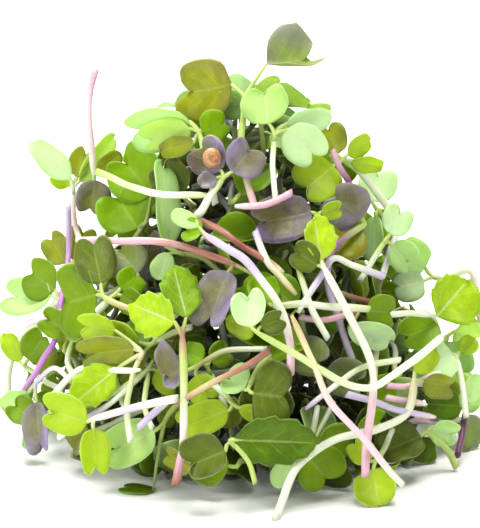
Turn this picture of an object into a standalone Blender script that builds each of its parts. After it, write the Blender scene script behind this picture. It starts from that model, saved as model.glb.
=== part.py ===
# Heap of cut radish microgreens that lies on a flat surface.
# Front is -Y and up is +Z. The layout is in millimetres as seen from the front, and meshes are in metres.

import math
import random

import bmesh
import bpy
from mathutils import Matrix, Vector
from mathutils.bvhtree import BVHTree

for leftover in list(bpy.data.objects):
    bpy.data.objects.remove(leftover, do_unlink=True)

# Driving dimensions, in millimetres
metre = 0.001
heapWidth = 116.0
heapHeight = 103.0
bladeThickness = 0.7
stemWidth = 1.9
petioleWidth = 1.3
domeBulge = 1.35
domeTaper = 0.9
knotLength = 2.2
hullPlace = (-7.7, 66.6)
hullSize = (4.3, 3.6, 4.9)
hullBack = -3.0

# Clearances, in millimetres: between nodes, and where a stem stops short of the leaves at its head
gap = 0.34
neckGap = 0.36
neckStep = 0.7
neckTries = 6

# How a spray is moved until it is clear of the others: millimetres a step, steps to the front and back,
# aside and up, and what each step counts for
settleStep = 0.8
stepsAway = (-6, 24)
stepsAside = 2
stepsUp = 2
backCost = 0.5
frontCost = 0.8
asideCost = 1.1

# The heap is laid out as it is seen from slightly above, at this angle in degrees
lookDown = 16.0
lookSin = math.sin(math.radians(lookDown))
lookCos = math.cos(math.radians(lookDown))
towardViewer = Vector((0.0, -lookCos, lookSin))

# Points closer than weld, in metres, are one point.
# Faces that turn less than flatEnough degrees are one face.
weld = 0.00001
flatEnough = 1.0

# Where the heap's face is searched for, in millimetres of depth
faceSearch = (-72.0, 6.0)

# Steepest change in depth along a stem and along a leaf, beside the distance seen from the front
stemSlope = 1.4
leafSlope = 0.55

# How finely stems, blades and the hull are divided
stemSides = 5
stemStep = 9.0
fillStemSides = 4
fillStemStep = 16.0
hullRings = 5
hullSides = 8
depthStep = 0.5

# Shares of a stem's width: its head, its knots, how high its middle lies on the surface, and the neck
# of a petiole
headShare = 0.85
knotShares = (0.95, 0.8)
stemRest = 0.55
hubRest = 0.7
rootedShare = 0.3
neckShare = 0.85

# Half outline and rib of each blade, from petiole to tip, as shares of half width and of length
bladeShapes = {
    "heart": {
        "edge": [(0.62, 0.06), (1.0, 0.42), (0.90, 0.84), (0.48, 1.0), (0.0, 0.82)],
        "rib": [0.10, 0.32, 0.55, 0.72, 0.82],
    },
    "saw": {
        "edge": [(0.62, 0.10), (0.66, 0.24), (1.0, 0.36), (0.84, 0.54), (0.86, 0.70), (0.46, 0.86),
                 (0.0, 1.0)],
        "rib": [0.12, 0.26, 0.40, 0.54, 0.68, 0.84, 1.0],
    },
    "fill": {
        "edge": [(1.0, 0.40), (0.78, 0.94), (0.0, 0.84)],
        "rib": [0.32, 0.66, 0.84],
    },
    "lens": {
        "edge": [(0.80, 0.18), (1.0, 0.50), (0.72, 0.86), (0.0, 0.98)],
        "rib": [0.20, 0.48, 0.76, 0.98],
    },
}

leafColours = {
    "lime": (0.46, 0.68, 0.05),
    "green": (0.16, 0.40, 0.02),
    "mint": (0.55, 0.84, 0.45),
    "olive": (0.25, 0.28, 0.08),
    "purple": (0.13, 0.11, 0.12),
}
stemColours = {
    "white": (0.88, 0.90, 0.80),
    "cream": (0.74, 0.70, 0.46),
    "pink": (0.78, 0.40, 0.52),
    "lilac": (0.62, 0.52, 0.76),
    "red": (0.35, 0.11, 0.08),
    "lime": (0.62, 0.74, 0.30),
    "purple": (0.16, 0.07, 0.13),
}
hullColour = (0.55, 0.22, 0.06)
stemRoughness = 0.35
leafRoughness = 0.45


def heapRadius(height):
    # Radius of the heap's dome at a height
    share = min(max(height / heapHeight, 0.0), 1.0)
    return 0.5 * heapWidth * (1.0 - share ** domeBulge) ** domeTaper


def faceDepth(across, up):
    # How far back the heap's front face lies at a place seen from the front
    best = None
    depth = faceSearch[0]
    limit = min(faceSearch[1], up / lookSin)
    while depth <= max(limit, faceSearch[0] + 1.0):
        height = (up - depth * lookSin) / lookCos
        outside = math.hypot(across, depth) - heapRadius(height)
        if outside <= 0.0:
            return depth
        if best is None or outside < best[0]:
            best = (outside, depth)
        depth += depthStep
    return best[1]


def place(across, up, back, near=None, steepest=1.0):
    # The point in space that is seen at (across, up), with back millimetres between it and the heap's face.
    # Where a near point is given, the depth changes from it by no more than steepest times the distance seen.
    depth = faceDepth(across, up) + back
    if near is not None:
        nearUp = near.z * lookCos + near.y * lookSin
        reach = steepest * math.hypot(across - near.x, up - nearUp)
        depth = min(max(depth, near.y - reach), near.y + reach)
        depth = min(depth, up / lookSin)
    return Vector((across, depth, max((up - depth * lookSin) / lookCos, 0.0)))


def smoothPath(points, step):
    # A soft curve through the points, with about one new point for each step of its length
    result = []
    for i in range(len(points) - 1):
        before = points[max(i - 1, 0)]
        start = points[i]
        end = points[i + 1]
        after = points[min(i + 2, len(points) - 1)]
        count = max(1, round((end - start).length / step))
        for k in range(count):
            t = k / count
            result.append(0.5 * (2.0 * start + (end - before) * t
                                 + (2.0 * before - 5.0 * start + 4.0 * end - after) * t * t
                                 + (3.0 * start - before - 3.0 * end + after) * t * t * t))
    result.append(points[-1].copy())
    return result


def tube(path, startWidth, endWidth, sides):
    # A closed round stalk along a path
    verts = []
    faces = []
    tangent = (path[1] - path[0]).normalized()
    normal = tangent.orthogonal().normalized()
    for i, point in enumerate(path):
        ahead = path[min(i + 1, len(path) - 1)]
        behind = path[max(i - 1, 0)]
        tangent = (ahead - behind).normalized()
        normal = (normal - tangent * normal.dot(tangent)).normalized()
        side = tangent.cross(normal)
        radius = 0.5 * (startWidth + (endWidth - startWidth) * i / (len(path) - 1))
        for k in range(sides):
            turn = 2.0 * math.pi * k / sides
            verts.append(point + (normal * math.cos(turn) + side * math.sin(turn)) * radius)
    for i in range(len(path) - 1):
        for k in range(sides):
            a = i * sides + k
            b = i * sides + (k + 1) % sides
            faces.append((a, b, b + sides, a + sides))
    faces.append(tuple(reversed(range(sides))))
    faces.append(tuple(range(len(verts) - sides, len(verts))))
    return verts, faces


def curledPoint(x, y, length, fold, curl):
    # A point of the flat outline once the blade is folded along its rib and curled towards its face
    foldTurn = math.radians(fold)
    curlTurn = math.radians(curl)
    flatX = x * math.cos(foldTurn)
    rise = abs(x) * math.sin(foldTurn)
    if curl == 0:
        return Vector((flatX, y, rise))
    radius = 0.5 * length / math.sin(0.5 * curlTurn)
    tilt = curlTurn * (y / length - 0.5)
    chordY = radius * math.sin(tilt) + 0.5 * length
    chordZ = radius * (math.cos(0.5 * curlTurn) - math.cos(tilt))
    return Vector((flatX, chordY - rise * math.sin(tilt), chordZ + rise * math.cos(tilt)))


def ribbon(rows, thicknesses):
    # A closed solid round rows of (left edge, rib, right edge) points, the last row a single point
    middle = []
    faces = []
    for row in rows[:-1]:
        middle += row
    tip = len(middle)
    middle.append(rows[-1][1])
    last = len(rows) - 2
    for i in range(last):
        for k in range(2):
            a = 3 * i + k
            b = a + 1
            c = b + 3
            d = a + 3
            faces += [(a, b, c), (a, c, d)] if k == 0 else [(a, b, d), (b, c, d)]
    faces += [(3 * last, 3 * last + 1, tip), (3 * last + 1, 3 * last + 2, tip)]
    normals = [Vector((0.0, 0.0, 0.0)) for point in middle]
    for a, b, c in faces:
        lean = (middle[b] - middle[a]).cross(middle[c] - middle[a]).normalized()
        for corner in (a, b, c):
            normals[corner] += lean
    depths = [thick for thick in thicknesses[:-1] for k in range(3)] + [thicknesses[-1]]
    total = len(middle)
    verts = []
    for sign in (0.5, -0.5):
        for point, normal, thick in zip(middle, normals, depths):
            verts.append(point + normal.normalized() * (sign * thick))
    solidFaces = list(faces) + [(a + total, c + total, b + total) for a, b, c in faces]
    left = [3 * i for i in range(last + 1)] + [tip]
    right = [3 * i + 2 for i in range(last + 1)] + [tip]
    for a, b in zip(left[:-1], left[1:]):
        solidFaces += [(a, b, b + total), (a, b + total, a + total)]
    for a, b in zip(right[:-1], right[1:]):
        solidFaces += [(a, b + total, b), (a, a + total, b + total)]
    solidFaces.append((0, total, total + 1, total + 2, 2, 1))
    return verts, solidFaces


def bladeTurn(base, tip, facing, roll):
    # Turns a blade so that it runs from base to tip with its face to the wanted side
    along = (tip - base).normalized()
    facing = (facing - along * facing.dot(along)).normalized()
    facing = Matrix.Rotation(math.radians(roll), 3, along) @ facing
    return Matrix((along.cross(facing), along, facing)).transposed()


def leafAt(shape, hub, base, tip, width, facing, roll, fold, curl):
    # A blade between two points in space, with its petiole from the head of the stem.
    # A blade with no fold is flat.
    outline = bladeShapes[shape]
    length = (tip - base).length
    turn = bladeTurn(base, tip, facing, roll)
    across = turn @ Vector((1.0, 0.0, 0.0))
    half = 0.5 * petioleWidth
    rows = [[end - across * half, end, end + across * half] for end in (hub, base)]
    thicknesses = [petioleWidth, neckShare * petioleWidth if fold else bladeThickness]
    for (out, along), rib in zip(outline["edge"], outline["rib"]):
        x = 0.5 * width * out
        row = [(-x, along * length), (0.0, rib * length), (x, along * length)]
        rows.append([base + turn @ curledPoint(px, py, length, fold, curl) for px, py in row])
        thicknesses.append(bladeThickness)
    return ribbon(rows, thicknesses)


# Each spray has one stem or a few that touch, and the leaves at the head of them.
# A leaf is (shape, base, tip, width, roll, fold, curl, back), with places as (across, up).
# A line is (places from cut end to head, width, back), and a spray's back sets it behind the heap's face.
sprays = {
    "crown": {
        "back": 3.0, "stem": "pink", "leaf": "olive", "hub": (0.0, 82.0),
        "lines": [([(2.5, 55), (0.5, 62), (0, 66), (-0.8, 72), (-0.3, 77), (0, 81.2)], 1.7, 0.0)],
        "leaves": [
            ("heart", (-3.2, 84.4), (-15.4, 82.4), 16, 8, 12, 25, 0),
            ("heart", (5.4, 89.6), (16.4, 90.4), 18, -44, 40, 12, 1),
        ],
    },
    "limeTop": {
        "back": 1.0, "leaf": "mint", "hub": (7.0, 73.0), "joined": True,
        "lines": [([(7.2, 56.5), (6.8, 61), (6.5, 66), (6.6, 72)], 1.4, 0.0)],
        "leaves": [
            ("heart", (5.6, 75), (4.2, 83.6), 12, -12, 18, 20, -1),
            ("heart", (9.8, 73.4), (17.2, 66.6), 10.5, 12, 14, 20, -2),
            ("lens", (10, 75), (20.8, 76.6), 6.5, 26, 20, 15, 1),
        ],
    },
    "mintLeft": {
        "back": 2.0, "leaf": "mint", "hub": (-10.8, 73.6), "joined": True,
        "lines": [([(-7, 56), (-8.5, 64), (-10.4, 72.8)], 1.6, 2.0)],
        "leaves": [
            ("heart", (-13, 75.4), (-27.6, 73), 12, -26, 20, 16, 3),
            ("heart", (-13, 73.8), (-24, 71), 8.5, -16, 20, 18, -1),
            ("heart", (-10, 73.2), (-4.2, 75.8), 8.5, 12, 20, 20, 0),
            ("lens", (-12, 70.6), (-20, 68.6), 5.5, 10, 20, 10, 1),
        ],
    },
    "purpleTop": {
        "back": -1.0, "stem": "white", "leaf": "purple", "hub": (-4.2, 62.6),
        "lines": [([(-11.2, 53), (-9.5, 54.5), (-7.5, 58), (-5.2, 61.6)], 2.0, 0.0),
                  ([(-34.5, 63.8), (-31, 62.5), (-27, 60.5), (-22, 58.8), (-17, 58.2), (-12, 58.2),
                    (-7.5, 58)], 1.8, 0.0)],
        "leaves": [
            ("heart", (-5.2, 64), (-10.4, 70.2), 11, -18, 24, 22, 0),
            ("heart", (-2.4, 63.6), (2.4, 69.8), 11.5, 18, 24, 22, 0),
            ("lens", (-6.2, 62.2), (-10.2, 60.4), 4.8, 30, 20, 24, -2),
        ],
    },
    "limeRight": {
        "back": 1.0, "leaf": "lime", "hub": (22.5, 66.6), "joined": True,
        "lines": [([(34, 55), (30, 60), (26, 64.5), (23.8, 66.2)], 1.8, 0.0)],
        "leaves": [
            ("heart", (20.5, 65), (12.8, 58.8), 12.5, 8, 16, 24, -1),
            ("heart", (21.5, 68), (19, 75), 7.5, 20, 24, 18, 3),
            ("lens", (24.2, 67.8), (29.5, 71.5), 6, 25, 20, 15, 1),
            ("lens", (25, 66.2), (32.5, 65.2), 5, 30, 20, 15, 0),
        ],
    },
    "upright": {
        "back": 6.0, "leaf": "olive", "hub": (-36.0, 62.6), "joined": True,
        "lines": [([(-35.5, 87.5), (-36.6, 83), (-37, 77), (-36.5, 70), (-36.1, 63.8)], 1.7, 0.0)],
        "leaves": [
            ("heart", (-35.8, 61.6), (-37, 53.6), 9.5, -16, 22, 20, -1),
            ("lens", (-34.8, 63.8), (-29.4, 68.2), 5.5, 20, 25, 10, -2),
        ],
    },
    "strap": {
        "back": 3.0, "leaf": "mint", "hub": (-41.0, 61.0), "joined": True,
        "lines": [([(-38.5, 45), (-40, 50), (-40.6, 55), (-41, 60.2)], 1.5, 0.0)],
        "leaves": [
            ("lens", (-41.6, 62.6), (-51, 71.4), 8, 26, 26, 20, 0),
            ("lens", (-42, 60.8), (-46.2, 63.6), 5, 10, 24, 20, 1),
            ("heart", (-40.0, 63), (-37.5, 69.5), 6, -20, 25, 15, 5),
            ("lens", (-39.2, 62), (-31, 73), 6, 25, 25, 12, 7),
        ],
    },
    "greenHeart": {
        "back": 3.0, "leaf": "green", "hub": (-23.0, 52.5), "joined": True,
        "lines": [([(-33.8, 35.3), (-31.5, 40), (-29, 44), (-26, 48.5), (-23.2, 51.6)], 1.4, -3.0)],
        "leaves": [
            ("heart", (-25.4, 50.4), (-30.8, 59.2), 15.5, 10, 14, 20, -1),
            ("heart", (-22.4, 58.4), (-29.8, 68), 14.5, -14, 16, 24, 1),
        ],
    },
    "mintNarrow": {
        "back": -1.0, "leaf": "mint", "hub": (-16.2, 44.6), "joined": True,
        "lines": [([(-4, 38), (-10, 43), (-15.4, 44.6)], 1.4, 2.0)],
        "leaves": [
            ("lens", (-18.6, 46), (-20, 66), 8.5, 36, 24, -14, -1),
            ("lens", (-18.2, 44.4), (-20.6, 38), 6.5, 24, 24, 20, -1),
        ],
    },
    "pinkLong": {
        "back": 0.0, "stem": "pink", "leaf": "purple", "hub": (-1.6, 41.6),
        "lines": [([(-39, 47.3), (-30, 47.3), (-20.5, 47), (-14, 46), (-8, 44), (-2.8, 41.9)], 1.9, -1.0)],
        "leaves": [
            ("heart", (-3.4, 40), (-8.6, 27), 11, 24, 26, 18, 1),
            ("heart", (2.4, 39.4), (6.4, 31), 9, -14, 20, 20, 2),
        ],
    },
    "centre": {
        "back": -3.0, "stem": "lilac", "leaf": "green", "hub": (-9.8, 48.6),
        "lines": [([(10.3, 15.6), (10.2, 22), (9, 28), (7, 33), (4, 37.5), (0, 42.5), (-4, 45),
                    (-8.8, 47.8)], 2.0, -1.0)],
        "leaves": [
            ("heart", (-10.4, 49), (-14.4, 49.6), 6.5, 20, 20, 15, 1),
            ("lens", (-11.2, 50.6), (-17.6, 53.6), 4.5, 10, 20, 15, 1),
        ],
    },
    "darkPurple": {
        "back": 0.0, "leaf": "purple", "hub": (17.0, 53.6), "joined": True,
        "lines": [([(20, 44), (19.4, 49), (17.4, 53)], 1.7, 4.0)],
        "leaves": [
            ("heart", (15.6, 54), (1.6, 51.2), 12, 10, 18, 24, 0),
            ("heart", (18, 54), (22.5, 55), 5, 20, 20, 15, 1),
        ],
    },
    "brownCross": {
        "back": -3.0, "stem": "cream",
        "lines": [([(-14.5, 53.5), (-6, 49.6), (-2, 46.8), (0, 45.5), (5, 42.6), (9, 39.6)], 1.8, 0.0),
                  ([(2.3, 49.5), (5, 42.6), (8, 39), (12, 34.4)], 1.7, 0.0)],
    },
    "purpleGold": {
        "back": -1.0, "leaf": "olive", "hub": (28.6, 51.4), "joined": True,
        "lines": [([(25.3, 19.3), (22, 29), (19.6, 38), (21.5, 46), (27.8, 50.8)], 1.8, 4.0)],
        "leaves": [
            ("heart", (27.6, 52.6), (20.4, 58.4), 13.5, -10, 20, 24, -1),
            ("heart", (27.6, 50.2), (19.4, 46.2), 13.5, 10, 20, 24, -1),
        ],
    },
    "longWhite": {
        "back": -5.0, "stem": "white", "leaf": "lime", "hub": (18.2, 41.4),
        "lines": [([(28, -7.5), (28.2, -2), (28.8, 3), (30, 13), (29.7, 18), (28, 23), (23.5, 31.5),
                    (18.9, 40.4)], 2.0, -2.0)],
        "leaves": [
            ("saw", (17.8, 42.8), (16.2, 53), 9, 20, 20, 16, 1),
            ("heart", (16.8, 41.6), (11.2, 45.4), 8, -10, 22, 20, 2),
        ],
    },
    "creamCup": {
        "back": -5.0, "stem": "cream", "leaf": "mint", "hub": (2.2, 26.2),
        "lines": [([(45.7, 24.5), (40, 20), (31, 14), (27, 13.2), (22, 14.5), (16, 18), (12, 20.6),
                    (3.2, 26)], 1.8, -1.0),
                  ([(36.5, -9.5), (33, -6), (27, 1.5), (19.5, 10), (16, 18), (14, 22),
                    (10.5, 30)], 1.7, -1.0)],
        "leaves": [
            ("heart", (1.0, 27.4), (0.2, 35.6), 9.5, -8, 30, 22, 1),
            ("heart", (3.4, 27.4), (8.4, 29.4), 6, 10, 22, 18, 3),
        ],
    },
    "star": {
        "back": -4.0, "leaf": "green", "hub": (6.4, 31.6), "joined": True,
        "lines": [([(29, 31), (20, 31.8), (15.2, 32.2), (13.4, 32.3), (7.6, 31.6)], 1.8, 0.0),
                  ([(32.5, 38.5), (25, 41.5), (20.5, 43), (17, 38), (14.6, 34.2), (13.4, 32.3),
                    (12.2, 30.2)], 1.7, 0.0),
                  ([(19.2, 24.2), (16.5, 29), (15.2, 32.2), (12, 41)], 1.6, 0.0)],
        "leaves": [
            ("heart", (5.4, 32.6), (3.4, 38.4), 8, 10, 20, 20, 2),
        ],
    },
    "frontArc": {
        "back": -3.0, "stem": "white", "leaf": "olive", "hub": (40.0, 14.8),
        "lines": [([(7.5, -17.5), (8.5, -14.6), (11, -8), (14, -4), (22, 1), (32, 3.2), (38.5, 7),
                    (39.7, 13.6)], 2.0, -2.0),
                  ([(24, 11.3), (30, 9.6), (35, 7.8), (38.5, 7), (45, 5.6)], 1.6, -2.0)],
        "leaves": [
            ("heart", (42.4, 14), (49.4, 12.6), 7, 24, 20, 15, 1),
            ("lens", (40.2, 16.4), (45.4, 21.4), 6, 10, 22, 15, 2),
        ],
    },
    "fork": {
        "back": -2.0, "stem": "pink", "leaf": "lime", "hub": (-14.5, 25.6),
        "lines": [([(-16, -9.2), (-15, -4), (-14.3, 0), (-14, 10.6), (-14.5, 24.4)], 2.1, -2.0),
                  ([(6, 22), (0, 18), (-8, 14.2), (-14, 10.6), (-16.4, 9.4)], 1.6, -2.0)],
        "leaves": [
            ("saw", (-16.4, 28.4), (-26.4, 32.6), 12, -14, 16, 14, -1),
            ("saw", (-13.6, 29.6), (-16.6, 41.6), 11, 16, 16, 16, 2),
        ],
    },
    "doubleLobe": {
        "back": -4.0, "leaf": "olive", "hub": (0.6, 12.2), "joined": True,
        "lines": [([(6, 21), (2.6, 17), (0.8, 13)], 1.4, 3.0)],
        "leaves": [
            ("heart", (2.0, 11.8), (10.8, 10.6), 18, 6, 14, 20, -1),
            ("heart", (-0.2, 12.8), (-4.4, 15.6), 9, 24, 20, 15, 1),
        ],
    },
    "greyTwist": {
        "back": 0.0, "leaf": "purple", "hub": (-11.6, 17.6), "joined": True,
        "lines": [([(5, 22), (-4, 21.5), (-9, 19.2), (-11.4, 17.8)], 1.4, 1.0)],
        "leaves": [
            ("heart", (-14.2, 16.8), (-19.6, 15.2), 15, 30, 36, 24, -1),
            ("heart", (-11.4, 15.6), (-8, 9.6), 8, 10, 20, 20, 2),
        ],
    },
    "limeCurve": {
        "back": -3.0, "leaf": "lime", "hub": (-2.4, 8.6), "joined": True,
        "lines": [([(-7, 13.2), (-4.4, 10.6), (-2.6, 8.8)], 1.5, 0.0)],
        "leaves": [
            ("heart", (-4, 7.4), (-15.6, 3.4), 9, 20, 22, 24, 1),
            ("lens", (-1.2, 8), (8.4, 5.4), 6, 40, 20, 15, 0),
        ],
    },
    "bigSaw": {
        "back": -5.0, "leaf": "green", "hub": (-3.8, 1.2), "joined": True,
        "lines": [([(2.4, -9), (0.6, -4), (-3.2, 0.8)], 1.3, 0.0)],
        "leaves": [
            ("saw", (-2.4, 1), (17, 0.2), 13, 8, 14, 14, 0),
            ("heart", (-4.6, -1.6), (-13.6, -5.2), 11.5, 16, 20, 15, 0),
        ],
    },
    "frontGreen": {
        "back": -2.0, "leaf": "green", "hub": (14.0, -2.4), "joined": True,
        "lines": [([(17, 8), (16, 3), (14.4, -1.6)], 1.4, 5.0)],
        "leaves": [
            ("heart", (14.6, -3.4), (20, -9.6), 12.5, -8, 14, 18, 0),
            ("lens", (11.6, -2.8), (7, -10.6), 6.5, 26, 26, 24, -1),
        ],
    },
    "limeRound": {
        "back": 0.0, "leaf": "lime", "hub": (30.4, -4.6), "joined": True, "low": True,
        "lines": [([(34.6, 2.6), (32.8, -1), (31, -4)], 1.4, 5.0)],
        "leaves": [
            ("lens", (30, -6.4), (31.4, -15), 10.5, 4, 14, 16, 0),
            ("heart", (29, -4.2), (25.2, 0.6), 7, -10, 20, 18, 1),
        ],
    },
    "mintRight": {
        "back": 2.0, "stem": "lilac", "leaf": "mint", "hub": (31.0, 56.4),
        "lines": [([(32.3, 40.3), (34, 46), (35.3, 50.4), (31.6, 55.4)], 1.7, -1.0)],
        "leaves": [
            ("heart", (30, 58.2), (32, 66.2), 10, 10, 18, 20, 1),
            ("heart", (32.4, 56), (35.4, 52.6), 5, 20, 20, 15, 2),
            ("lens", (30.8, 54.4), (30.4, 43.6), 7, 30, 26, 14, -1),
        ],
    },
    "roundMint": {
        "back": 3.0, "leaf": "mint", "hub": (44.2, 38.6), "joined": True,
        "lines": [([(56.4, 27), (55.6, 33), (53.8, 40.4), (48, 38.4), (45.4, 37.8)], 1.9, -2.0)],
        "leaves": [
            ("heart", (42.8, 41), (36, 46), 10, 0, 14, 18, 1),
            ("heart", (42.4, 37.6), (35, 36), 8.5, 6, 18, 20, 0),
        ],
    },
    "foldedSaw": {
        "back": 0.0, "leaf": "lime", "hub": (44.8, 29.8), "joined": True,
        "lines": [([(33.6, 30), (38, 30.2), (43.6, 30.2)], 1.7, 0.0)],
        "leaves": [
            ("saw", (46, 29.6), (53.6, 38.2), 16.5, 18, 24, 18, -1),
            ("heart", (46.2, 27.8), (37, 24), 9.5, 10, 20, 20, 1),
        ],
    },
    "oliveHeart": {
        "back": -3.0, "leaf": "olive", "hub": (27.4, 31.6), "joined": True,
        "lines": [([(13, 29.5), (18, 28.7), (23, 29.6), (26.6, 31)], 1.6, 3.0)],
        "leaves": [
            ("heart", (28.6, 31), (35.4, 30.2), 9.5, 10, 18, 22, -1),
            ("lens", (24.4, 26.8), (34.6, 24), 7.5, 14, 22, 15, 1),
        ],
    },
    "paleStalk": {
        "back": 1.0, "leaf": "mint", "hub": (50.4, 20.2), "joined": True,
        "lines": [([(52.6, 5.5), (52, 12), (50.8, 18.8)], 1.6, 0.0)],
        "leaves": [
            ("heart", (49.4, 20.6), (38.6, 15), 11.5, 14, 22, 20, -1),
            ("lens", (51.4, 21.2), (54.6, 24.6), 5, 10, 22, 10, 2),
        ],
    },
    "deepGreen": {
        "back": 1.0, "leaf": "green", "hub": (52.6, 7.6), "joined": True,
        "lines": [([(50.5, -3.5), (51.6, 1), (52.6, 6.2)], 1.6, -1.0)],
        "leaves": [
            ("heart", (51, 8), (42, 8.8), 8.5, 14, 20, 20, 0),
            ("lens", (53.4, 8.8), (56, 15.6), 5.5, 10, 20, 10, 2),
            ("heart", (53.2, 5.8), (55, -1.6), 7, -10, 20, 10, 2),
        ],
    },
    "darkFront": {
        "back": -1.0, "leaf": "purple", "hub": (42.6, 2.6), "joined": True,
        "lines": [([(50, -6), (47.6, -1.4), (43.6, 1.8)], 1.7, -2.0)],
        "leaves": [
            ("heart", (41.4, 1.2), (31.4, -2.6), 12, 22, 32, 16, 0),
            ("heart", (44, 3), (50, 1.4), 7, 16, 20, 15, 2),
        ],
    },
    "mintPair": {
        "back": 2.0, "stem": "white", "leaf": "mint", "hub": (-43.6, 33.4),
        "lines": [([(-56.8, 7), (-56.6, 16), (-55, 21), (-52.5, 25), (-49, 28), (-44.3, 32.4)], 1.9, -1.0)],
        "leaves": [
            ("heart", (-45, 35.4), (-51.6, 40), 11, -18, 18, 22, 1),
            ("heart", (-46, 34), (-57, 33.6), 10.5, 16, 20, 24, -1),
        ],
    },
    "magenta": {
        "back": -3.0, "stem": "lilac",
        "lines": [([(-42.2, 55.8), (-42, 45), (-43.6, 34), (-45, 24.5), (-47.6, 20), (-50, 15.6),
                    (-53.4, 11), (-57.8, 7.4)], 1.5, 0.0)],
    },
    "greyHang": {
        "back": 1.0, "leaf": "purple", "hub": (-50.2, 14.6), "joined": True,
        "lines": [([(-41, 15.4), (-45.6, 18.6), (-49.4, 15.6)], 1.4, 2.0)],
        "leaves": [
            ("heart", (-49.6, 10.4), (-48.6, -1.6), 8.5, 24, 40, 10, 0),
            ("lens", (-51.6, 12.6), (-58.2, 9.2), 6, -20, 16, 10, 2),
        ],
    },
    "upFold": {
        "back": 0.0, "leaf": "green", "hub": (-34.0, 34.6), "joined": True,
        "lines": [([(-20, 28.6), (-25.5, 31), (-31, 33), (-33, 34.2)], 1.7, 0.0)],
        "leaves": [
            ("heart", (-35.2, 34.6), (-43.8, 32.4), 20, 12, 16, 22, -2),
            ("heart", (-34, 37.4), (-36.4, 48.4), 10.5, -8, 18, 18, 6),
        ],
    },
    "greyGreen": {
        "back": 4.0, "leaf": "olive", "hub": (-24.4, 38.4), "joined": True,
        "lines": [([(-36.6, 28), (-35, 31), (-33.4, 33.2), (-27, 37.4), (-25.4, 38.2)], 1.8, -3.0)],
        "leaves": [
            ("heart", (-25, 39.8), (-30, 46.4), 11, 10, 18, 20, 1),
            ("lens", (-26, 37.4), (-33, 41.4), 6, -20, 20, 15, 3),
        ],
    },
    "sawCup": {
        "back": -1.0, "leaf": "lime", "hub": (-23.6, 21.6), "joined": True,
        "lines": [([(-26.7, 0.5), (-28, 8), (-27.2, 13), (-26, 17), (-24, 20.6)], 1.5, 1.0),
                  ([(-45.8, 10.3), (-39, 17.2), (-31, 17), (-26, 17), (-24.4, 17.2)], 1.6, 1.0)],
        "leaves": [
            ("saw", (-30.4, 17.2), (-40.6, 9), 10.5, 12, 18, 18, 0),
            ("heart", (-26, 22), (-38.6, 20.4), 9.5, -14, 26, 24, 1),
            ("heart", (-30.6, 26.4), (-38.8, 27.4), 7, -10, 20, 18, 3),
        ],
    },
    "limeHeart": {
        "back": -5.0, "stem": "pink", "leaf": "lime", "hub": (-35.8, 5.4),
        "lines": [([(-16, 10.4), (-24, 8.7), (-30, 7), (-34.8, 5.8)], 1.9, -1.0)],
        "leaves": [
            ("heart", (-37, 4.8), (-47.2, 7.6), 10, -6, 14, 20, 0),
            ("heart", (-35.4, 3), (-35, -7.6), 8, -12, 22, 18, 1),
        ],
    },
    "palePair": {
        "back": 6.0, "leaf": "mint", "hub": (-19.4, 4.0), "joined": True, "low": True,
        "lines": [([(-12, 12), (-15, 9.6), (-17.6, 7), (-19, 4.8)], 1.5, 2.0)],
        "leaves": [
            ("heart", (-21.4, 2.6), (-32.6, -2.6), 11, 12, 14, 18, -2),
            ("heart", (-21.8, -1.6), (-29.2, -6.4), 7.5, 0, 0, 0, 2),
        ],
    },
}

# Seedlings behind the face: bunches whose stems cross, spread over a part of the dome.
# Turn is in degrees round the heap from its right side, rise is a share of its height, and rows and columns
# say how the heads are spread.
bunches = [
    {"name": "bunch_back_left", "seed": 0, "turn": (118, 172), "rise": (0.08, 0.40),
     "rows": 2, "columns": 2, "grounded": True},
    {"name": "bunch_back_middle", "seed": 34, "turn": (64, 116), "rise": (0.08, 0.40),
     "rows": 2, "columns": 2, "grounded": True},
    {"name": "bunch_back_right", "seed": 6, "turn": (8, 62), "rise": (0.08, 0.40),
     "rows": 2, "columns": 2, "grounded": True},
    {"name": "bunch_upper_left", "seed": 0, "turn": (98, 165), "rise": (0.44, 0.68),
     "rows": 2, "columns": 2},
    {"name": "bunch_upper_right", "seed": 251, "turn": (20, 86), "rise": (0.44, 0.68),
     "rows": 2, "columns": 2},
    {"name": "bunch_crest", "seed": 0, "turn": (40, 140), "rise": (0.76, 0.80),
     "rows": 1, "columns": 3},
]
bunchLook = {
    "evenness": (0.35, 0.65),  # where a head stands within its share of the bunch
    "knotDepth": (15.0, 32.0),  # how deep in the heap the stems cross
    "knotRise": (0.7, 0.95),  # how high, as a share of the bunch's middle height
    "knotLow": 9.0,
    "sink": (3.0, 7.0),  # how deep the heads lie under the dome
    "tail": (7.0, 15.0),  # length of stem past the knot
    "tailLow": 2.0,
    "bow": 3.0,
    "lean": (1.8, -0.3),  # how far the leaves face up, by height and at the surface
    "stray": 0.8,
    "play": 0.3,
    "petiole": 2.6,
    "leafLength": (9.0, 12.5),
    "leafBroad": 1.35,
    "leafLow": 2.5,
    "fold": 16.0,
    "curl": 20.0,
}


def material(name, colour, roughness):
    mat = bpy.data.materials.new(name)
    mat.use_nodes = True
    shader = mat.node_tree.nodes["Principled BSDF"]
    shader.inputs["Base Color"].default_value = (*colour, 1.0)
    shader.inputs["Roughness"].default_value = roughness
    return mat


def solid(name, piece):
    # A mesh object from points in millimetres
    verts, faces = piece
    mesh = bpy.data.meshes.new(name)
    mesh.from_pydata([vert * metre for vert in verts], [], faces)
    mesh.validate()
    mesh.update()
    obj = bpy.data.objects.new(name, mesh)
    bpy.context.scene.collection.objects.link(obj)
    return obj


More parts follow.
